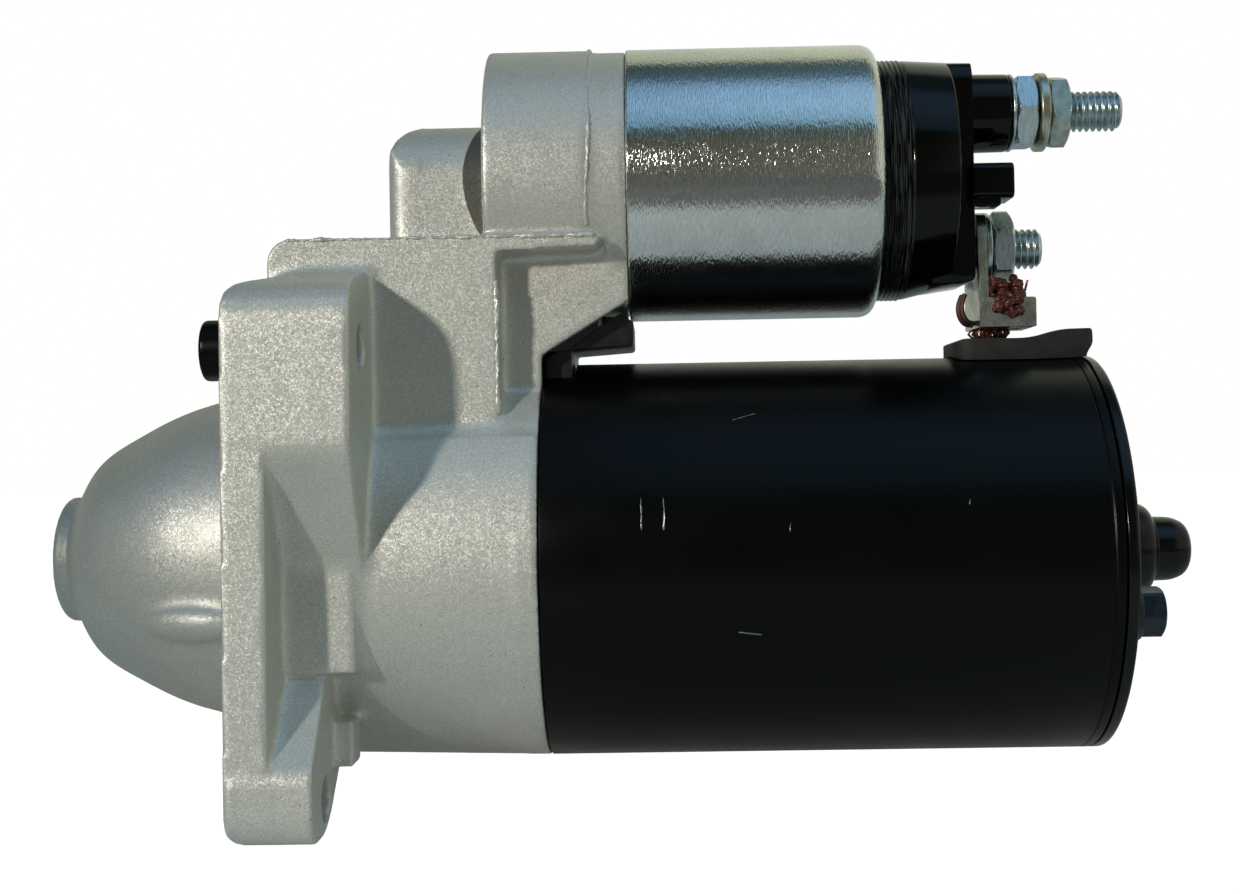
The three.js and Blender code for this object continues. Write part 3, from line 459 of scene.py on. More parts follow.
def machined(name, tint, rough=(0.24, 0.4), sizes=(0.12, 4, 4)):
    look = Look(name, Metallic=1.0)
    rings = look.noise(sizes, detail=2, roughness=0.7)
    cloud = look.noise(5, detail=4)
    colour = look.ramp(rings, (0.3, times(tint, 0.7)), (0.65, tint))
    colour = look.blend(look.range(cloud, 0.45, 0.75, 0, 0.4), colour, times(tint, 0.62))
    look.relief(rings, 0.008)
    return look.done(colour, look.range(cloud, 0.3, 0.7, *rough))


def moulded_black():
    look = Look("moulded_black_gloss", Metallic=0.0, Specular_IOR_Level=0.27)
    cloud = look.noise(4, detail=4)
    speck = look.noise(0.3, detail=2)
    colour = look.ramp(cloud, (0.35, (0.0004, 0.0006, 0.0005)), (0.7, (0.0010, 0.0013, 0.0011)))
    x = look.add("ShaderNodeSeparateXYZ", {"Vector": look.place}).outputs["X"]
    over_ribs = look.range(x, (CAN_X[1] + 5.6) * MM, (CAN_X[1] + 5.0) * MM, 0, 1)
    dust = look.range(look.noise((0.25, 6, 6), detail=2), 0.42, 0.62, 0, 1)
    colour = look.blend(look.calculate("MULTIPLY", over_ribs, dust), colour, (0.045, 0.052, 0.048))
    look.relief(look.noise(1.4, detail=3), 0.006)
    look.relief(speck, 0.003)
    return look.done(colour, look.range(cloud, 0.3, 0.75, 0.08, 0.15))


def rubber():
    look = Look("moulded_rubber", Metallic=0.0, Specular_IOR_Level=0.4)
    cloud = look.noise(3, detail=5)
    speck = look.noise(0.25, detail=3)
    colour = look.ramp(cloud, (0.3, (0.012, 0.012, 0.011)), (0.72, (0.030, 0.029, 0.026)))
    colour = look.blend(look.range(speck, 0.62, 0.75, 0, 0.4), colour, (0.07, 0.068, 0.06))
    look.relief(speck, 0.03)
    return look.done(colour, look.range(cloud, 0.3, 0.7, 0.55, 0.75))


def copper(name="copper_wire", tint=(0.36, 0.15, 0.10)):
    look = Look(name, Metallic=0.85)
    cloud = look.noise(1.2, detail=4)
    colour = look.ramp(cloud, (0.3, times(tint, 0.45)), (0.55, tint), (0.8, times(tint, 1.6)))
    look.relief(look.noise(0.3, detail=2), 0.02)
    return look.done(colour, look.range(cloud, 0.3, 0.7, 0.35, 0.6))


def matt(name, low, high, rough=(0.5, 0.75)):
    look = Look(name, Metallic=0.0)
    cloud = look.noise(3, detail=4)
    colour = look.ramp(cloud, (0.3, low), (0.7, high))
    look.relief(look.noise(0.4, detail=3), 0.025)
    return look.done(colour, look.range(cloud, 0.3, 0.7, *rough))


LOOKS.update({
    "cast_aluminium": cast_aluminium(),
    "black_paint": black_paint(),
    "zinc_plate": zinc_plate(),
    "steel": machined("machined_steel", (0.46, 0.46, 0.45)),
    "dark_steel": machined("oiled_dark_steel", (0.075, 0.078, 0.075), rough=(0.3, 0.5)),
    "moulded_black": moulded_black(),
    "rubber": rubber(),
    "copper": copper(),
    "bronze": machined("sintered_bronze", (0.42, 0.29, 0.14), rough=(0.4, 0.6)),
    "ferrite": matt("ferrite_magnet", (0.03, 0.03, 0.032), (0.06, 0.06, 0.062)),
    "carbon": matt("carbon_brush", (0.03, 0.026, 0.024), (0.07, 0.06, 0.055)),
    "nylon": matt("glass_filled_nylon", (0.045, 0.04, 0.032), (0.09, 0.08, 0.065), rough=(0.4, 0.6)),
})
BLUE_ZINC = zinc_plate("zinc_plate_blue", (0.66, 0.76, 0.80), (0.3, 3, 3), (0.22, 0.40))
OLIVE_ZINC = zinc_plate("zinc_plate_olive", (0.68, 0.67, 0.55), (0.3, 3, 3), (0.24, 0.42))
GREEN_ZINC = zinc_plate("zinc_plate_green", (0.68, 0.77, 0.72), (2, 2, 2), (0.28, 0.46))
BARE_MARK = machined("bare_steel_mark", (0.36, 0.36, 0.33), rough=(0.3, 0.5), sizes=(1, 1, 1))
BOLT_STEEL = machined("phosphated_bolt", (0.055, 0.07, 0.085), rough=(0.3, 0.44), sizes=(2, 2, 2))
COVER_ENAMEL = black_paint("cover_enamel", rough=(0.14, 0.2), specular=0.34)

LUG_ZINC = zinc_plate("zinc_plate_lug", (0.70, 0.74, 0.69), (2.5, 2.5, 2.5), (0.20, 0.38))
MELTED_COPPER = copper("melted_copper", (0.15, 0.052, 0.045))
DARK_COPPER = copper("dark_copper", (0.10, 0.055, 0.045))
SEAL_BLACK = matt("seal_black", (0.005, 0.006, 0.005), (0.012, 0.013, 0.012), rough=(0.35, 0.55))
CAN_ZINC = hammered_zinc()


# ---------- casting ----------
DOME = [(-38.3, NOSE_R + 0.6), (-34, 19.4), (-27, 24), (-16, 29.1), (0, 33.2)]
NOSE_X = (-42, -38.8)  # front and foot of the plain nose
DOME_END = (2, 33.6)


def smooth_curve(points, per_piece=10):
    """A Catmull-Rom curve through the points."""
    padded = [points[0], *points, points[-1]]
    curve = []
    for a, b, c, d in zip(padded, padded[1:], padded[2:], padded[3:]):
        for k in range(per_piece):
            t = k / per_piece
            weights = (2 * t**2 - t - t**3, 2 - 5 * t**2 + 3 * t**3, t + 4 * t**2 - 3 * t**3, t**3 - t**2)
            curve.append(tuple(sum(w * v for w, v in zip(weights, values)) / 2
                               for values in zip(a, b, c, d)))
    return [*curve, points[-1]]


def dome_radius(x):
    line = [(NOSE_X[0], NOSE_R), (NOSE_X[1], NOSE_R), *smooth_curve(DOME), DOME_END]
    return np.interp(x, *zip(*line))


def barrel_radius(x):
    """The barrel widens a little, up to the yoke's radius."""
    return np.interp(x, [30, 53], [BARREL_R, YOKE_R])


def ledge(angle):
    """A low step on the near side, sharp above and fading out below."""
    top = math.pi - math.asin(23.5 / BARREL_R)
    run = (angle - top) / math.radians(30)
    return 0.55 * max(0.0, 1 - run) if run >= 0 else 0.0


def dome_shell():
    line = [(NOSE_X[0], 0), (NOSE_X[0], NOSE_R - 0.8), (NOSE_X[0] + 0.8, NOSE_R), (NOSE_X[1], NOSE_R),
            *smooth_curve(DOME), DOME_END]
    inner = [(x + 1.2, max(r - 2, 0)) for x, r in reversed(line)]
    dome = lathe("dome", line + inner, z=NOSE_RISE)
    opening = outline([(-30, -17, 4), (-4, -17, 4), (-4, 17, 4), (-30, 17, 4)])
    return carve(dome, prism("window", opening, "y", 12, 45))


def barrel_shell():
    stations = [(x, constant(float(barrel_radius(x)))) for x in (7, 12)]
    stations += [(x, lambda angle, r=float(barrel_radius(x)): r + ledge(angle)) for x in (12.3, 52)]
    stations += [(53, constant(YOKE_R)), (53, constant(35.5)), (7, constant(35))]
    barrel = surface("barrel", stations, segments=240, closed=True)
    return carve(barrel, box("lever_way", (9, 56), (-17, 17), (20, 60)))


def saddle_shell():
    inner = 22.5
    step = 0.45
    end = 69.5
    line = outline([(SADDLE_X, 11), (SADDLE_X, SOL_R, 0.7), (62.2, SOL_R), (62.6, SOL_R - step),
                    (end, SOL_R - step), (end, inner), (47, inner), (46.4, 11)], 4)
    saddle = lathe("saddle", line, z=SOL_Z, closed=True)
    return keep_in(saddle, box("above", (36, 72), (-30, 30), (SHELF_Z - 1, 102)))


def round_shells():
    """True round skins over the CAD's flat-sided dome, barrel and saddle."""
    return [dome_shell(), barrel_shell(), saddle_shell(), bolt_bulge()]


def bolt_bulge():
    """The soft swelling that runs out along the dome ahead of the near bolt boss."""
    bm = bmesh.new()
    turn = Matrix.Translation((-10.5, -26.8, -8.6)) @ Matrix.Rotation(math.radians(-19), 4, "Z")
    bmesh.ops.create_uvsphere(bm, u_segments=32, v_segments=20, radius=1,
                              matrix=turn @ Matrix.Diagonal((11.5, 5, 4.1, 1)))
    return to_object("bulge", bm)


def coordinates(obj):
    flat = np.empty(len(obj.data.vertices) * 3)
    obj.data.vertices.foreach_get("co", flat)
    return flat.reshape(-1, 3) / MM


def is_open_skin(points):
    """True for points of the casting's outside, away from its holes and hollows."""
    x, y, z = points.T
    plunger_bore = 10.8
    can_seat = 24
    hole = 7.2
    from_axis = np.hypot(y, z - SOL_Z)
    outside = np.hypot(y, z - NOSE_RISE) > np.where(x < 0, dome_radius(x) - 2.5, 0)
    outside &= (x < 0) | (np.hypot(y, z) > BARREL_R - 3)
    outside &= x > -35
    outside &= ~((x > 36) & (x < SADDLE_X + 1.5) & (z > SHELF_Z + 1.3))
    outside &= ~((x > 8) & (np.abs(y) < 18.5) & (z > 15) & (z < SHELF_Z - 1.5))
    outside &= ~((x > 24) & (from_axis < np.where(x < 45, plunger_bore, can_seat)))
    for hole_y, hole_z in (UPPER_EAR, LOWER_EAR, FAR_EAR):
        outside &= np.hypot(y - hole_y, z - hole_z) > hole
    return outside & (x < 52) | (outside & (z > 40) & (x < 68.5))


def fill_corners(obj, iterations):
    """Rounds the inner corners of a casting like fillets, and leaves its outer corners as they are."""
    before = coordinates(obj)
    normals = np.empty(before.size)
    obj.data.vertices.foreach_get("normal", normals)
    apply(obj, "SMOOTH", factor=0.5, iterations=iterations)
    moved = coordinates(obj) - before
    outward = np.einsum("ij,ij->i", moved, normals.reshape(-1, 3))
    share = np.clip(outward / 0.05, 0, 1) * is_open_skin(before)
    after = before + moved * share[:, None]
    obj.data.vertices.foreach_set("co", (after * MM).ravel())
    obj.data.update()


def saddle_front():
    """The space ahead of the saddle's end, outside the small block."""
    ahead = (30, SADDLE_X)
    space = box("space", ahead, (-30, 30), (SHELF_Z + 0.1, 102))
    within = (29, SADDLE_X + 1)
    line = [(within[0], 0), (within[0], BLOCK_R), (within[1], BLOCK_R), (within[1], 0)]
    sides = box("block_sides", within, (-BLOCK_R, BLOCK_R), (SHELF_Z - 2, SOL_Z))
    return carve(space, lathe("block_top", line, z=SOL_Z), sides)


def boss_front():
    """The space outside the dome, ahead of the flange, round the near bolt."""
    front = -1.0
    line = [(x, float(dome_radius(x)) - 0.2) for x in (-37, -34, -30, -26, -22, -18, -14, -10, -6, front)]
    space = lathe("space", [*line, (front, 60), (-37, 60)], z=NOSE_RISE, closed=True)
    return keep_in(space, box("near_bolt", (-40, 2), (-50, -8), (-19, 4)))


def housing_casting():
    cad_housing = carve(copy_of("drive_end_housing", "cad_housing"), boss_front(), saddle_front())
    casting = merged("housing_casting", [cad_housing, *round_shells()])
    apply(casting, "REMESH", mode="VOXEL", voxel_size=0.5 * MM)
    apply(casting, "SMOOTH", factor=0.5, iterations=2)
    fill_corners(casting, 55)
    apply(casting, "SMOOTH", factor=0.5, iterations=2)
    swell = bpy.data.textures.new("cast_swell", "CLOUDS")
    swell.noise_scale = 3.5 * MM
    apply(casting, "DISPLACE", texture=swell, strength=0.05 * MM, mid_level=0.5, texture_coords="LOCAL")
    stands_for(casting, "drive_end_housing", sharp=80)


def ragged_line(points, thickness, seed, step=0.5):
    """A thin uneven ridge along a line of points, such as casting flash or a burr."""
    chance = random.Random(seed)
    route = []
    for a, b in zip(points, points[1:]):
        count = max(1, int((Vector(b) - Vector(a)).length / step))
        route += [Vector(a).lerp(Vector(b), k / count) for k in range(count)]
    route.append(Vector(points[-1]))
    bm = bmesh.new()
    rings = [[bm.verts.new(route[0])]]
    size = thickness
    for here, ahead in zip(route[1:], route[2:]):
        size = min(max(size + chance.uniform(-0.3, 0.3) * thickness, 0.35 * thickness), 1.3 * thickness)
        along = (ahead - here).normalized()
        side = along.orthogonal().normalized()
        other = along.cross(side)
        shift = Vector([chance.uniform(-0.25, 0.25) * thickness for _ in range(3)])
        rings.append([bm.verts.new(here + shift + size * (math.cos(a) * side + math.sin(a) * other))
                      for a in (math.pi / 3 * k for k in range(6))])
    rings.append([bm.verts.new(route[-1])])
    skin(bm, rings)
    return to_object("ragged_line", bm)


def casting_flash():
    half = 27.0
    step = 45.6
    lines = [
        ragged_line([(7, -half, SHELF_Z - 0.3), (64, -half, SHELF_Z - 0.3)], 0.42, 1),
        ragged_line([(7, half, SHELF_Z - 0.3), (64, half, SHELF_Z - 0.3)], 0.42, 2),
        ragged_line([(step, -half + 0.2, SHELF_Z - 8), (step, -half + 0.2, 28)], 0.5, 3),
        ragged_line([(step, half - 0.2, SHELF_Z - 8), (step, half - 0.2, 28)], 0.5, 4),
    ]
    for side, seed in ((-1, 5), (1, 6)):
        arc = [math.radians(a) for a in range(-24, 87, 6)]
        rim = SOL_R - 0.1
        points = [(62.4 + 0.35 * math.sin(5 * a), side * rim * math.cos(a), SOL_Z + rim * math.sin(a))
                  for a in arc]
        lines.append(ragged_line(points, 0.33, seed))
    belongs(merged("casting_flash", lines), "drive_end_housing", sharp=60)


def locating_sleeve():
    line = outline([(-5.4, 4.2, 0.2), (-5.4, 5.4, 0.9), (7.7, 5.4), (7.7, 4.2)])
    y, z = UPPER_EAR
    stands_for(lathe("locating_tube", line, y, z, 72, closed=True), "locating_sleeve")


# ---------- motor body ----------
def yoke():
    inner = YOKE_R - 3.1
    x0, x1 = YOKE_X
    line = outline([
        (x0, inner), (x0, YOKE_R, 0.25), (STAKES[0][0][0] - 0.4, YOKE_R), (STAKES[0][1][0] + 0.4, YOKE_R),
        (x1 - 2.1, YOKE_R, 0.1), (x1 - 1.9, YOKE_R - 0.22, 0.1),
        (x1 - 1.6, YOKE_R, 0.1), (x1, YOKE_R, 0.3), (x1, inner)], steps=3)
    tube = lathe("yoke_shell", line, segments=192, closed=True)
    carve(tube, box("lever_notch", (50, 59.2), (-15, 15), (30, 45)),
          box("lead_notch", (133.2, 158), (-6.6, 6.6), (30, 45)))
    for low, high in STAKES:
        points = [(low[0], low[1]), (high[0], low[1]), (high[0], high[1]), (low[0], high[1])]
        carve(tube, prism("stake", points, "y", -YOKE_R - 2, -YOKE_R + 0.75))
    stands_for(tube, "yoke_tube", sharp=30)


STAKES = [((71.4, 6.6), (75.2, 13.1))]  # staked-down places, as low and high corners in (x, z)


def on_yoke(x, z, proud=0.0):
    return x, -math.sqrt((YOKE_R + proud) ** 2 - z**2), z


def yoke_marks():
    """Bare burrs at the stake and a few scratches."""
    (x0, z0), (x1, z1) = STAKES[0]
    rows = [z0 + (z1 - z0) * k / 8 for k in range(9)]
    burrs = [
        ragged_line([on_yoke(x0, z, 0.05) for z in rows], 0.16, 11),
        ragged_line([on_yoke(x1 + 0.25 * math.sin(math.pi * k / 8), z, 0.12) for k, z in enumerate(rows)],
                    0.34, 12),
        ragged_line([on_yoke(88, 26.2), on_yoke(92.6, 27.4)], 0.13, 13),
        ragged_line([on_yoke(97.4, 6), on_yoke(97.6, 8.2)], 0.12, 14),
        ragged_line([on_yoke(88, -11.2), on_yoke(92.5, -11.8)], 0.12, 15),
        ragged_line([on_yoke(129, 10.2), on_yoke(129.2, 11.8)], 0.1, 16),
    ]
    belongs(merged("yoke_marks", burrs), "yoke_tube", look=BARE_MARK, sharp=60)


def bolt_place(side):
    return -side * BOLT_R * math.cos(BOLT_ANGLE), -side * BOLT_R * math.sin(BOLT_ANGLE)


def end_cover():
    x = REAR_X
    line = outline([
        (COVER_X, 34.5), (COVER_X, YOKE_R, 0.3), (x, YOKE_R, 0.9), (x, 11.8, 1.6), (x + 1.2, 10.1, 0.6),
        (x + 8.0, 9.3, 1.6), (x + 11.3, 8.4, 1.8), (x + 11.8, 6.3, 0.5), (x + 16.4, 6.15, 1.8),
        (x + 19.1, 4.4, 1.8), (x + 19.3, 0)], steps=6, closed=False)
    inner = [(x + 16, 0), (x + 16, 4.4), (x + 8, 4.4), (x + 8, 6.8), (x - 2, 6.8), (x - 2, 34.5)]
    cover = lathe("rear_cover", line + inner, segments=160)
    for side in (1, -1):
        y, z = bolt_place(side)
        carve(cover, lathe("hole", [(x - 5, 0), (x - 5, 2.9), (x + 2, 2.9), (x + 2, 0)], y, z, 48))
    stands_for(cover, "end_cover", look=COVER_ENAMEL)


def hex_stations(x0, x1, across_flats, turn, chamfers=(True, True)):
    """Stations of a hexagon whose ends are turned down at 30 degrees."""
    half = across_flats / 2
    corner = half / math.cos(math.pi / 6)
    depth = (corner - 0.95 * half) * math.tan(math.radians(30))

    def flat(angle):
        within = (angle - turn) % (math.pi / 3) - math.pi / 6
        return half / math.cos(within)

    def limited(run):
        limit = 0.95 * half + run / math.tan(math.radians(30))
        return lambda angle: min(flat(angle), limit)

    steps = [depth * k / 6 for k in range(7)]
    front = [(x0 + s, limited(s)) for s in steps] if chamfers[0] else [(x0, flat)]
    back = [(x1 - s, limited(s)) for s in reversed(steps)] if chamfers[1] else [(x1, flat)]
    return front + back


def constant(radius):
    return lambda angle: radius


def hex_nut(name, node, y, z, turn, look):
    low, high = span(node)
    sides = hex_stations(low.x, high.x, NUT_AF, turn)
    bore = STUD_R + 0.3
    ends = [(high.x, constant(bore + 0.7)), (high.x - 0.7, constant(bore)), (low.x + 0.7, constant(bore)),
            (low.x, constant(bore + 0.7))]
    nut = surface(name, sides + ends, y, z, 96, closed=True)
    stands_for(nut, node, look=look, sharp=25)


def threaded(name, x0, x1, y, z, radius, pitch, segments=48):
    """A rod with a helical thread and a chamfered tip at x1."""
    depth = 0.54 * pitch
    per_turn = 10
    count = int((x1 - x0) / pitch * per_turn)

    def at(x):
        def radius_at(angle):
            phase = (x / pitch - angle / (2 * math.pi)) % 1
            wave = min(1.0, max(0.0, 1.35 * abs(2 * phase - 1) - 0.15))
            return min(radius - depth + depth * wave, radius - 0.9 + (x1 - x))
        return radius_at

    stations = [(x0, constant(0))]
    stations += [(x0 + (x1 - x0) * k / count, at(x0 + (x1 - x0) * k / count)) for k in range(count + 1)]
    stations.append((x1, constant(0)))
    return surface(name, stations, y, z, segments)


def stud(name, node, z, plain_end):
    low, high = span(node)
    thread = threaded(name, plain_end, high.x, 0, z, STUD_R, THREAD_PITCH)
    head_end = low.x + 2.6
    shank_end = plain_end + 0.2
    shank = [(low.x, 0), (low.x, 5.8), (head_end, 5.8), (head_end, 3.4), (shank_end, 3.4), (shank_end, 0)]
    rod = merged(name, [thread, lathe("shank", shank, 0, z, 48)])
    stands_for(rod, node, look=BLUE_ZINC, sharp=50)


def through_bolt(name, node, side):
    y, z = bolt_place(side)
    x = REAR_X
    shank = lathe("shank", [(20, 0), (20, 2.2), (20.6, 2.45), (x + 1, 2.45), (x + 1, 0)], y, z, 32)
    rim = outline([(x + 0.3, 0), (x + 0.3, 5.3, 0.2), (x + 1.5, 5.1, 0.4), (x + 1.9, 3.9), (x + 1.9, 0)],
                  closed=False)
    flange = lathe("flange", rim, y, z, 64)
    stations = hex_stations(x + 1.4, x + 5.7, 8.2, 0.2, (False, True))
    dish = [(x + 5.7, constant(3.0)), (x + 5.3, constant(2.6)), (x + 5.3, constant(0))]
    head = surface("head", [(x + 1.4, constant(0)), *stations, *dish], y, z, 72)
    stands_for(merged(name, [shank, flange, head]), node, look=BOLT_STEEL, sharp=28)


# ---------- solenoid ----------
def solenoid_can():
    x0, x1 = CAN_X
    line = outline([
        (x0, 9.8), (x0, SOL_R, 0.5), (x1 - 0.2, SOL_R, 3.1), (x1, SOL_R - 3.1, 0.3), (x1 - 1.6, SOL_R - 3.2),
        (x1 - 4.5, SOL_R - 2.4), (x0 + 2.6, SOL_R - 2.4), (x0 + 2.6, 9.8)], steps=9)
    shell = lathe("solenoid_shell", line, z=SOL_Z, segments=192, closed=True)
    stands_for(shell, "solenoid_can", look=CAN_ZINC, sharp=30)


def cap_radius(x, radius):
    """The cap's draft: its underside rises towards the terminals and its top falls a little."""
    ribbed = CAN_X[1] + 5
    draft = max(0.0, x - ribbed) / (CAP_ROUND_X - ribbed)
    return lambda angle: radius * (1 - draft * (0.048 - 0.034 * math.sin(angle)))


def cap_shell():
    x1 = CAN_X[1]
    start = x1 - 0.4
    groove = CAP_R - 0.3
    crest = CAP_R + 0.12
    ribs = []
    for i in range(6):
        x = start + 0.9 * i
        ribs += [(x, groove), (x + 0.3, crest), (x + 0.45, crest), (x + 0.75, groove)]
    body = outline([(107, 20), (107, 23), (x1 - 5.2, 23), (x1 - 1, CAP_R - 0.5), *ribs,
                    (start + 5.7, CAP_R, 0.3), (CAP_ROUND_X, CAP_R - 0.2, 0.45), (CAP_ROUND_X, 12),
                    (CAP_ROUND_X, 0)], 4, closed=False)
    hollow = [(CAP_HOLLOW_X, 0), (CAP_HOLLOW_X, 19), (107, 19)]
    stations = [(x, cap_radius(x, r)) for x, r in body + hollow]
    return surface("cap_shell", stations, z=SOL_Z, segments=144)


def terminal_block():
    front = CAP_HOLLOW_X + 0.5
    plan = outline([(-9.5, 49.9, 5), (9.5, 49.9, 5), (9.5, 95.7, 7), (-9.5, 95.7, 7)], 8)
    side = outline([(front, 51), (CAP_BLOCK_X, 52.4, 1), (CAP_BLOCK_X, 95.8, 1), (front, 95.8)], 4)
    block = keep_in(prism("block", plan, "x", front, CAP_BLOCK_X), prism("side", side, "y", -12, 12))
    limit = [(110, 0), (110, 22.9), (140, 22.5), (140, 0)]
    keep_in(block, lathe("round_limit", limit, z=SOL_Z))
    return bevelled(block, 0.5, 3)


def terminal_stem():
    foot = CAP_BLOCK_X - 1
    line = outline([(foot, 0), (foot, 7.9, 0.2), (CAP_BLOCK_X + 0.6, 7.6, 0.3), (STEM_X, 7.5, 0.5),
                    (STEM_X, 0)], closed=False)
    return lathe("stem", line, z=BATTERY_Z, segments=72)


def blade_hood():
    foot = CAP_BLOCK_X - 1
    line = outline([(-13, 67.6, 1.5), (-13, 74.4, 2), (-2.5, 74.4, 2), (-2.5, 67.6, 1.5)], 6)
    hood = bevelled(prism("hood", line, "x", foot, 142.8), 0.35, 3, 60)
    lip = bevelled(box("lip", (foot, 140.6), (-11, -4.5), (66.4, 69)), 0.3)
    return lip, carve(hood, box("mouth", (136.6, 146), (-11.3, -4.2), (69.2, 72.8)))


def solenoid_cap():
    cap = merged("cap_moulding", [cap_shell()])
    combine(cap, "UNION", [terminal_block(), terminal_stem(), *blade_hood()])
    bore = STUD_R + 0.3
    for z in (BATTERY_Z, MOTOR_Z):
        carve(cap, lathe("hole", [(120, 0), (120, bore), (150, bore), (150, 0)], z=z, segments=48))
    carve(cap, box("blade_way", (125, 140), (-9.3, -6.3), (69.6, 72.4)))
    stands_for(cap, "solenoid_cap", sharp=30)


def washer(name, node, z, look, split=False):
    low, high = span(node)
    radius = high.y
    bore = STUD_R + 0.3
    line = outline([(low.x, bore, 0.15), (low.x, radius, 0.3), (high.x, radius, 0.3),
                    (high.x, bore, 0.15)], 3)
    ring = lathe(name, line, z=z, segments=96, closed=True)
    if split:
        carve(ring, box("split", (low.x - 1, high.x + 1), (-0.4, 0.4), (z + 3, z + 12)))
    stands_for(ring, node, look=look)


def terminals():
    stud("battery_thread", "battery_stud", BATTERY_Z, 140)
    stud("motor_thread", "motor_stud", MOTOR_Z, 134)
    washer("battery_flat_washer", "battery_washer", BATTERY_Z, BLUE_ZINC)
    washer("battery_split_washer", "battery_lock_washer", BATTERY_Z, OLIVE_ZINC, split=True)
    washer("motor_split_washer", "motor_lock_washer", MOTOR_Z, BLUE_ZINC, split=True)
    hex_nut("battery_nut_a", "battery_nut_inner", 0, BATTERY_Z, 0.0, BLUE_ZINC)
    hex_nut("battery_nut_b", "battery_nut_outer", 0, BATTERY_Z, 0.26, GREEN_ZINC)
    hex_nut("motor_hex_nut", "motor_nut", 0, MOTOR_Z, 0.67, BLUE_ZINC)
    stands_for(bevelled(copy_of("switch_blade", "switch_tab"), 0.25), "switch_blade", look=BLUE_ZINC)


def wires(name, routes, radius):
    """Thin round wires, each along its own list of points."""
    data = bpy.data.curves.new(name, "CURVE")
    data.dimensions = "3D"
    data.bevel_depth = radius * MM
    data.bevel_resolution = 1
    data.use_fill_caps = True
    for route in routes:
        spline = data.splines.new("POLY")
        spline.points.add(len(route) - 1)
        for point, place in zip(spline.points, route):
            point.co = (*(Vector(place) * MM), 1)
    curve = bpy.data.objects.new(name, data)
    bpy.context.scene.collection.objects.link(curve)
    graph = bpy.context.evaluated_depsgraph_get()
    mesh = bpy.data.meshes.new_from_object(curve.evaluated_get(graph))
    bpy.data.objects.remove(curve)
    obj = bpy.data.objects.new(name, mesh)
    bpy.context.scene.collection.objects.link(obj)
    return obj


STRANDS = 46


def braid():
    """Twisted strands from the grommet through the lug's slot, spread below it and frayed above."""
    chance = random.Random(21)
    line = smooth_curve([(141.8, 0, 34), (141.4, 0, 38.5), (139.7, -0.6, 42.6), (142.0, -1.5, 45.6),
                         (143.2, -4, 49), (143.4, -5.4, 52)], 6)
    routes = []
    for _ in range(STRANDS):
        ring = 0.35 + 1.75 * math.sqrt(chance.random())
        phase = 2 * math.pi * chance.random()
        reach = chance.uniform(0.72, 1.0)
        loose = Vector([chance.uniform(-1, 1) for _ in range(3)])
        route = []
        for k, (x, y, z) in enumerate(line[: int(reach * len(line))]):
            share = k / (len(line) - 1)
            belly = 1 + 1.0 * math.exp(-((z - 42.7) / 1.2) ** 2) + 1.3 * max(0.0, share - 0.72)
            angle = phase + 2.4 * share
            spread = 2.6 * max(0.0, share - 0.6)
            route.append((x + ring * belly * math.cos(angle) + spread * loose.x,
                          y + ring * belly * math.sin(angle) + spread * loose.y, z + spread * loose.z))
        routes.append(route)
    return wires("braid", routes, 0.24)


# Clusters of blobs in the melted end: how many, and their range along x, y and z.
WELD = [(70, (139.8, 144.8), (-9.2, -5.0), (46.0, 49.6)), (16, (143.0, 144.4), (-8.0, -5.5), (49.5, 53.4)),
        (36, (138.6, 142.2), (-7.5, -4.0), (48.5, 52.6))]


def weld_lump():
    """The melted end of the braid, a rough lump over the lug's foot."""
    chance = random.Random(5)
    bm = bmesh.new()
    for count, x, y, z in WELD:
        for _ in range(count):
            centre = Vector((chance.uniform(*x), chance.uniform(*y), chance.uniform(*z)))
            bmesh.ops.create_icosphere(bm, subdivisions=2, radius=chance.uniform(0.5, 1.1),
                                       matrix=Matrix.Translation(centre))
    lump = to_object("lump", bm)
    apply(lump, "REMESH", mode="VOXEL", voxel_size=0.2 * MM)
    apply(lump, "SMOOTH", factor=0.5, iterations=4)
    rough = bpy.data.textures.new("lump_rough", "CLOUDS")
    rough.noise_scale = 0.6 * MM
    apply(lump, "DISPLACE", texture=rough, strength=0.9 * MM, mid_level=0.45, texture_coords="LOCAL")
    return lump


def hidden_works():
    """The CAD's inner pieces with their edges broken, for the views that reach inside."""
    for node in ("pinion", "output_shaft", "stop_ring", "clutch_barrel", "shift_collar", "shift_lever",
                 "nose_bush"):
        stands_for(bevelled(copy_of(node, node + "_fine"), 0.2, 2), node)


def stray_wires():
    """Three blackened wires that hook up from the lug towards the cap."""
    hook = smooth_curve([(136.3, -3.2, 44.3), (134.8, -3.6, 44.6), (133.8, -3.8, 46.0), (133.6, -3.8, 48.0),
                         (134.3, -3.6, 50.0)], 4)
    offsets = [(0, 0.5, 0), (0.35, -0.2, 0.2), (-0.3, -0.3, -0.2)]
    routes = [[tuple(p + d for p, d in zip(point, offset)) for point in hook] for offset in offsets]
    return wires("stray_wires", routes, 0.5)


def lead():
    stands_for(bevelled(copy_of("cable_lug", "folded_lug"), 0.4, 4), "cable_lug", look=LUG_ZINC)
    stands_for(braid(), "motor_lead", sharp=60)
    belongs(weld_lump(), "motor_lead", look=MELTED_COPPER, sharp=60)
    belongs(stray_wires(), "motor_lead", look=DARK_COPPER)
    stands_for(bevelled(copy_of("lead_grommet", "rubber_grommet"), 0.4), "lead_grommet")
    stands_for(bevelled(copy_of("lever_bracket", "lever_seal"), 0.4), "lever_bracket", look=SEAL_BLACK)


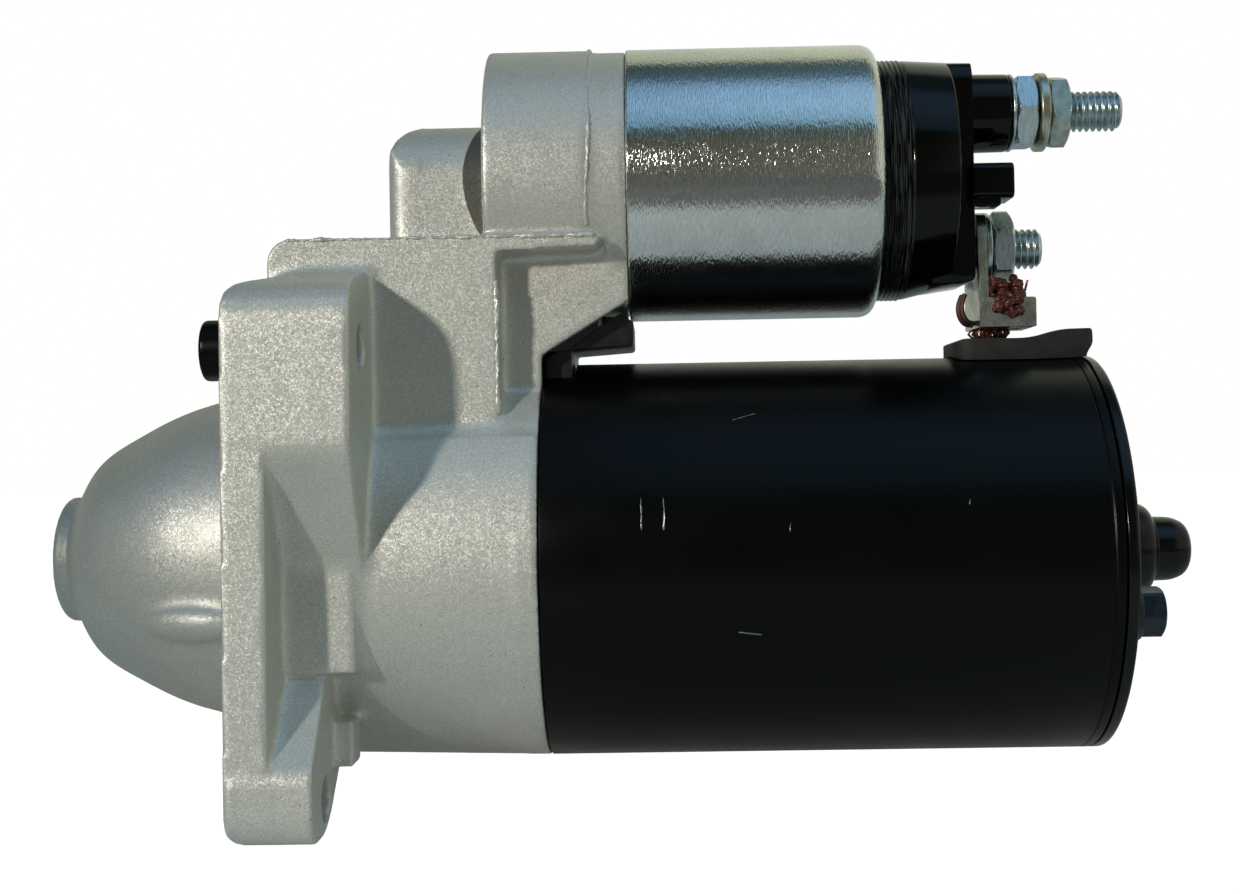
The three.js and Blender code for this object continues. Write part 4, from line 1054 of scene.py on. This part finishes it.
# ---------- studio ----------
FLOOR_DARK = (0.07, 0.07, 0.06)
FLOOR_PALE = (0.68, 0.71, 0.70)
FLOOR_GLOW = 1.2  # strength of the white that the camera sees
FLOOR_SHARE = (0.055, 0.86)  # the glow's share for other rays and for the camera's

# The room's brightness by the angle about the X axis: 0 is straight in front, 90 above, 180 behind.
ROOM = [
    (-30, (0.16, 0.16, 0.14)), (-6, (0.10, 0.10, 0.085)), (6, (0.085, 0.085, 0.068)),
    (30, (0.07, 0.075, 0.06)), (39, (0.035, 0.055, 0.05)), (45, (0.17, 0.32, 0.45)),
    (62, (0.24, 0.41, 0.60)), (82, (0.20, 0.34, 0.52)), (92, (0.06, 0.11, 0.13)),
    (112, (0.04, 0.06, 0.065)), (120, (0.36, 0.39, 0.29)), (180, (0.52, 0.54, 0.46)),
]
ROOM_STRENGTH = 1.15
END_WALL = (0.44, 0.46, 0.37)

# The key lamp, in metres, watts and degrees.
KEY_TARGET = (0.05, 0, 0.02)
KEY_DIRECTION = (-0.58, -0.765, 0.28)
KEY_DISTANCE = 1.5
KEY_RADIUS = 0.055
KEY_WATTS = 45
BEAM_SHIFT = (0.366 * 0.797, -0.366 * 0.604, 0)  # moves the beam's middle back and to the front
BEAM_ANGLE = 32
BEAM_BLEND = 0.16


def floor():
    """A pale table: white to the camera, and dark far in front of the object for what reflects it."""
    bpy.ops.mesh.primitive_plane_add(size=6, location=(0.06, 0, FLOOR_Z * MM))
    plane = bpy.context.object
    plane.name = "studio_floor"
    material = bpy.data.materials.new("pale_floor")
    material.use_nodes = True
    tree = material.node_tree
    matt_face = tree.nodes["Principled BSDF"]
    matt_face.inputs["Roughness"].default_value = 0.9
    place = add_node(tree, "ShaderNodeTexCoord").outputs["Object"]
    depth = add_node(tree, "ShaderNodeSeparateXYZ", {"Vector": place}).outputs["Y"]
    near = map_range(tree, depth, -0.30, -0.22)
    tones = {"Factor": near, MIX_A: (*FLOOR_DARK, 1), MIX_B: (*FLOOR_PALE, 1)}
    tone = add_node(tree, "ShaderNodeMix", tones, data_type="RGBA").outputs[MIX_RESULT]
    tree.links.new(tone, matt_face.inputs["Base Color"])
    glow = add_node(tree, "ShaderNodeEmission", {"Strength": FLOOR_GLOW}).outputs[0]
    seen = add_node(tree, "ShaderNodeLightPath").outputs["Is Camera Ray"]
    share = map_range(tree, seen, 0, 1, *FLOOR_SHARE)
    both = add_node(tree, "ShaderNodeMixShader", {0: share, 1: matt_face.outputs[0], 2: glow})
    tree.links.new(both.outputs[0], tree.nodes["Material Output"].inputs[0])
    plane.data.materials.append(material)


def key_light():
    """A small warm lamp in front, to the left and above; its beam's soft edge falls on the nose."""
    data = bpy.data.lights.new("key", "SPOT")
    data.shadow_soft_size = KEY_RADIUS
    data.spot_size = math.radians(BEAM_ANGLE)
    data.spot_blend = BEAM_BLEND
    data.energy = KEY_WATTS
    data.color = (1.0, 0.965, 0.88)
    light = bpy.data.objects.new("key", data)
    bpy.context.scene.collection.objects.link(light)
    target = Vector(KEY_TARGET)
    place = target + KEY_DISTANCE * Vector(KEY_DIRECTION)
    light.location = place
    light.rotation_euler = (target + Vector(BEAM_SHIFT) - place).to_track_quat("-Z", "Y").to_euler()


def studio_world():
    """A room with a long blue-white softbox overhead, and a plain white backdrop for the camera."""
    world = bpy.data.worlds.new("studio")
    bpy.context.scene.world = world
    world.use_nodes = True
    tree = world.node_tree
    room = tree.nodes["Background"]
    room.inputs["Strength"].default_value = ROOM_STRENGTH
    direction = add_node(tree, "ShaderNodeTexCoord").outputs["Generated"]
    apart = add_node(tree, "ShaderNodeSeparateXYZ", {"Vector": direction})
    x, y, z = (apart.outputs[axis] for axis in "XYZ")
    ahead = add_node(tree, "ShaderNodeMath", {0: y, 1: -1}, operation="MULTIPLY").outputs[0]
    angle = add_node(tree, "ShaderNodeMath", {0: z, 1: ahead}, operation="ARCTAN2").outputs[0]
    stops = [(0.5 + degrees / 360, colour) for degrees, colour in ROOM]
    walls = colour_ramp(tree, map_range(tree, angle, -math.pi, math.pi), stops)
    brightness = map_range(tree, x, -0.25, 0.12, 0.55, 1.25)
    lit = add_node(tree, "ShaderNodeVectorMath", {0: walls, "Scale": brightness}, operation="SCALE")
    ends = {"Factor": map_range(tree, x, 0.42, 0.75), MIX_A: lit.outputs["Vector"], MIX_B: (*END_WALL, 1)}
    whole = add_node(tree, "ShaderNodeMix", ends, data_type="RGBA").outputs[MIX_RESULT]
    tree.links.new(whole, room.inputs["Color"])
    backdrop = add_node(tree, "ShaderNodeBackground", {"Color": (1, 1, 1, 1)}).outputs[0]
    seen = add_node(tree, "ShaderNodeLightPath").outputs["Is Camera Ray"]
    choose = add_node(tree, "ShaderNodeMixShader", {0: seen, 1: room.outputs[0], 2: backdrop})
    tree.links.new(choose.outputs[0], tree.nodes["World Output"].inputs[0])


def camera():
    """The photo's view: from in front, turned and rolled by about a degree."""
    yaw = 0.0214
    roll = -0.0176
    place = Vector((74.44, -342.9, 21.71)) * MM
    level_right = Vector((math.cos(yaw), math.sin(yaw), 0))
    back = Vector((math.sin(yaw), -math.cos(yaw), 0))
    upright = Vector((0, 0, 1))
    right = math.cos(roll) * level_right + math.sin(roll) * upright
    up = math.cos(roll) * upright - math.sin(roll) * level_right
    data = bpy.data.cameras.new("camera")
    data.lens = 50.52
    data.sensor_width = 36
    data.clip_start = 0.01
    obj = bpy.data.objects.new("camera", data)
    bpy.context.scene.collection.objects.link(obj)
    turn = Matrix((right, up, back)).transposed()
    obj.matrix_world = Matrix.Translation(place) @ turn.to_4x4()
    bpy.context.scene.camera = obj


def studio():
    floor()
    studio_world()
    key_light()
    bpy.context.scene.view_settings.view_transform = "Standard"


# ---------- assembly ----------
for node, obj in frame["nodes"].items():
    for slot_index in range(len(obj.material_slots)):
        obj.material_slots[slot_index].material = LOOKS[SLOT_OF[node]]

camera()
studio()
housing_casting()
casting_flash()
locating_sleeve()
yoke()
yoke_marks()
end_cover()
through_bolt("long_bolt_near", "through_bolt_1", 1)
through_bolt("long_bolt_far", "through_bolt_2", -1)
solenoid_can()
solenoid_cap()
terminals()
lead()
hidden_works()
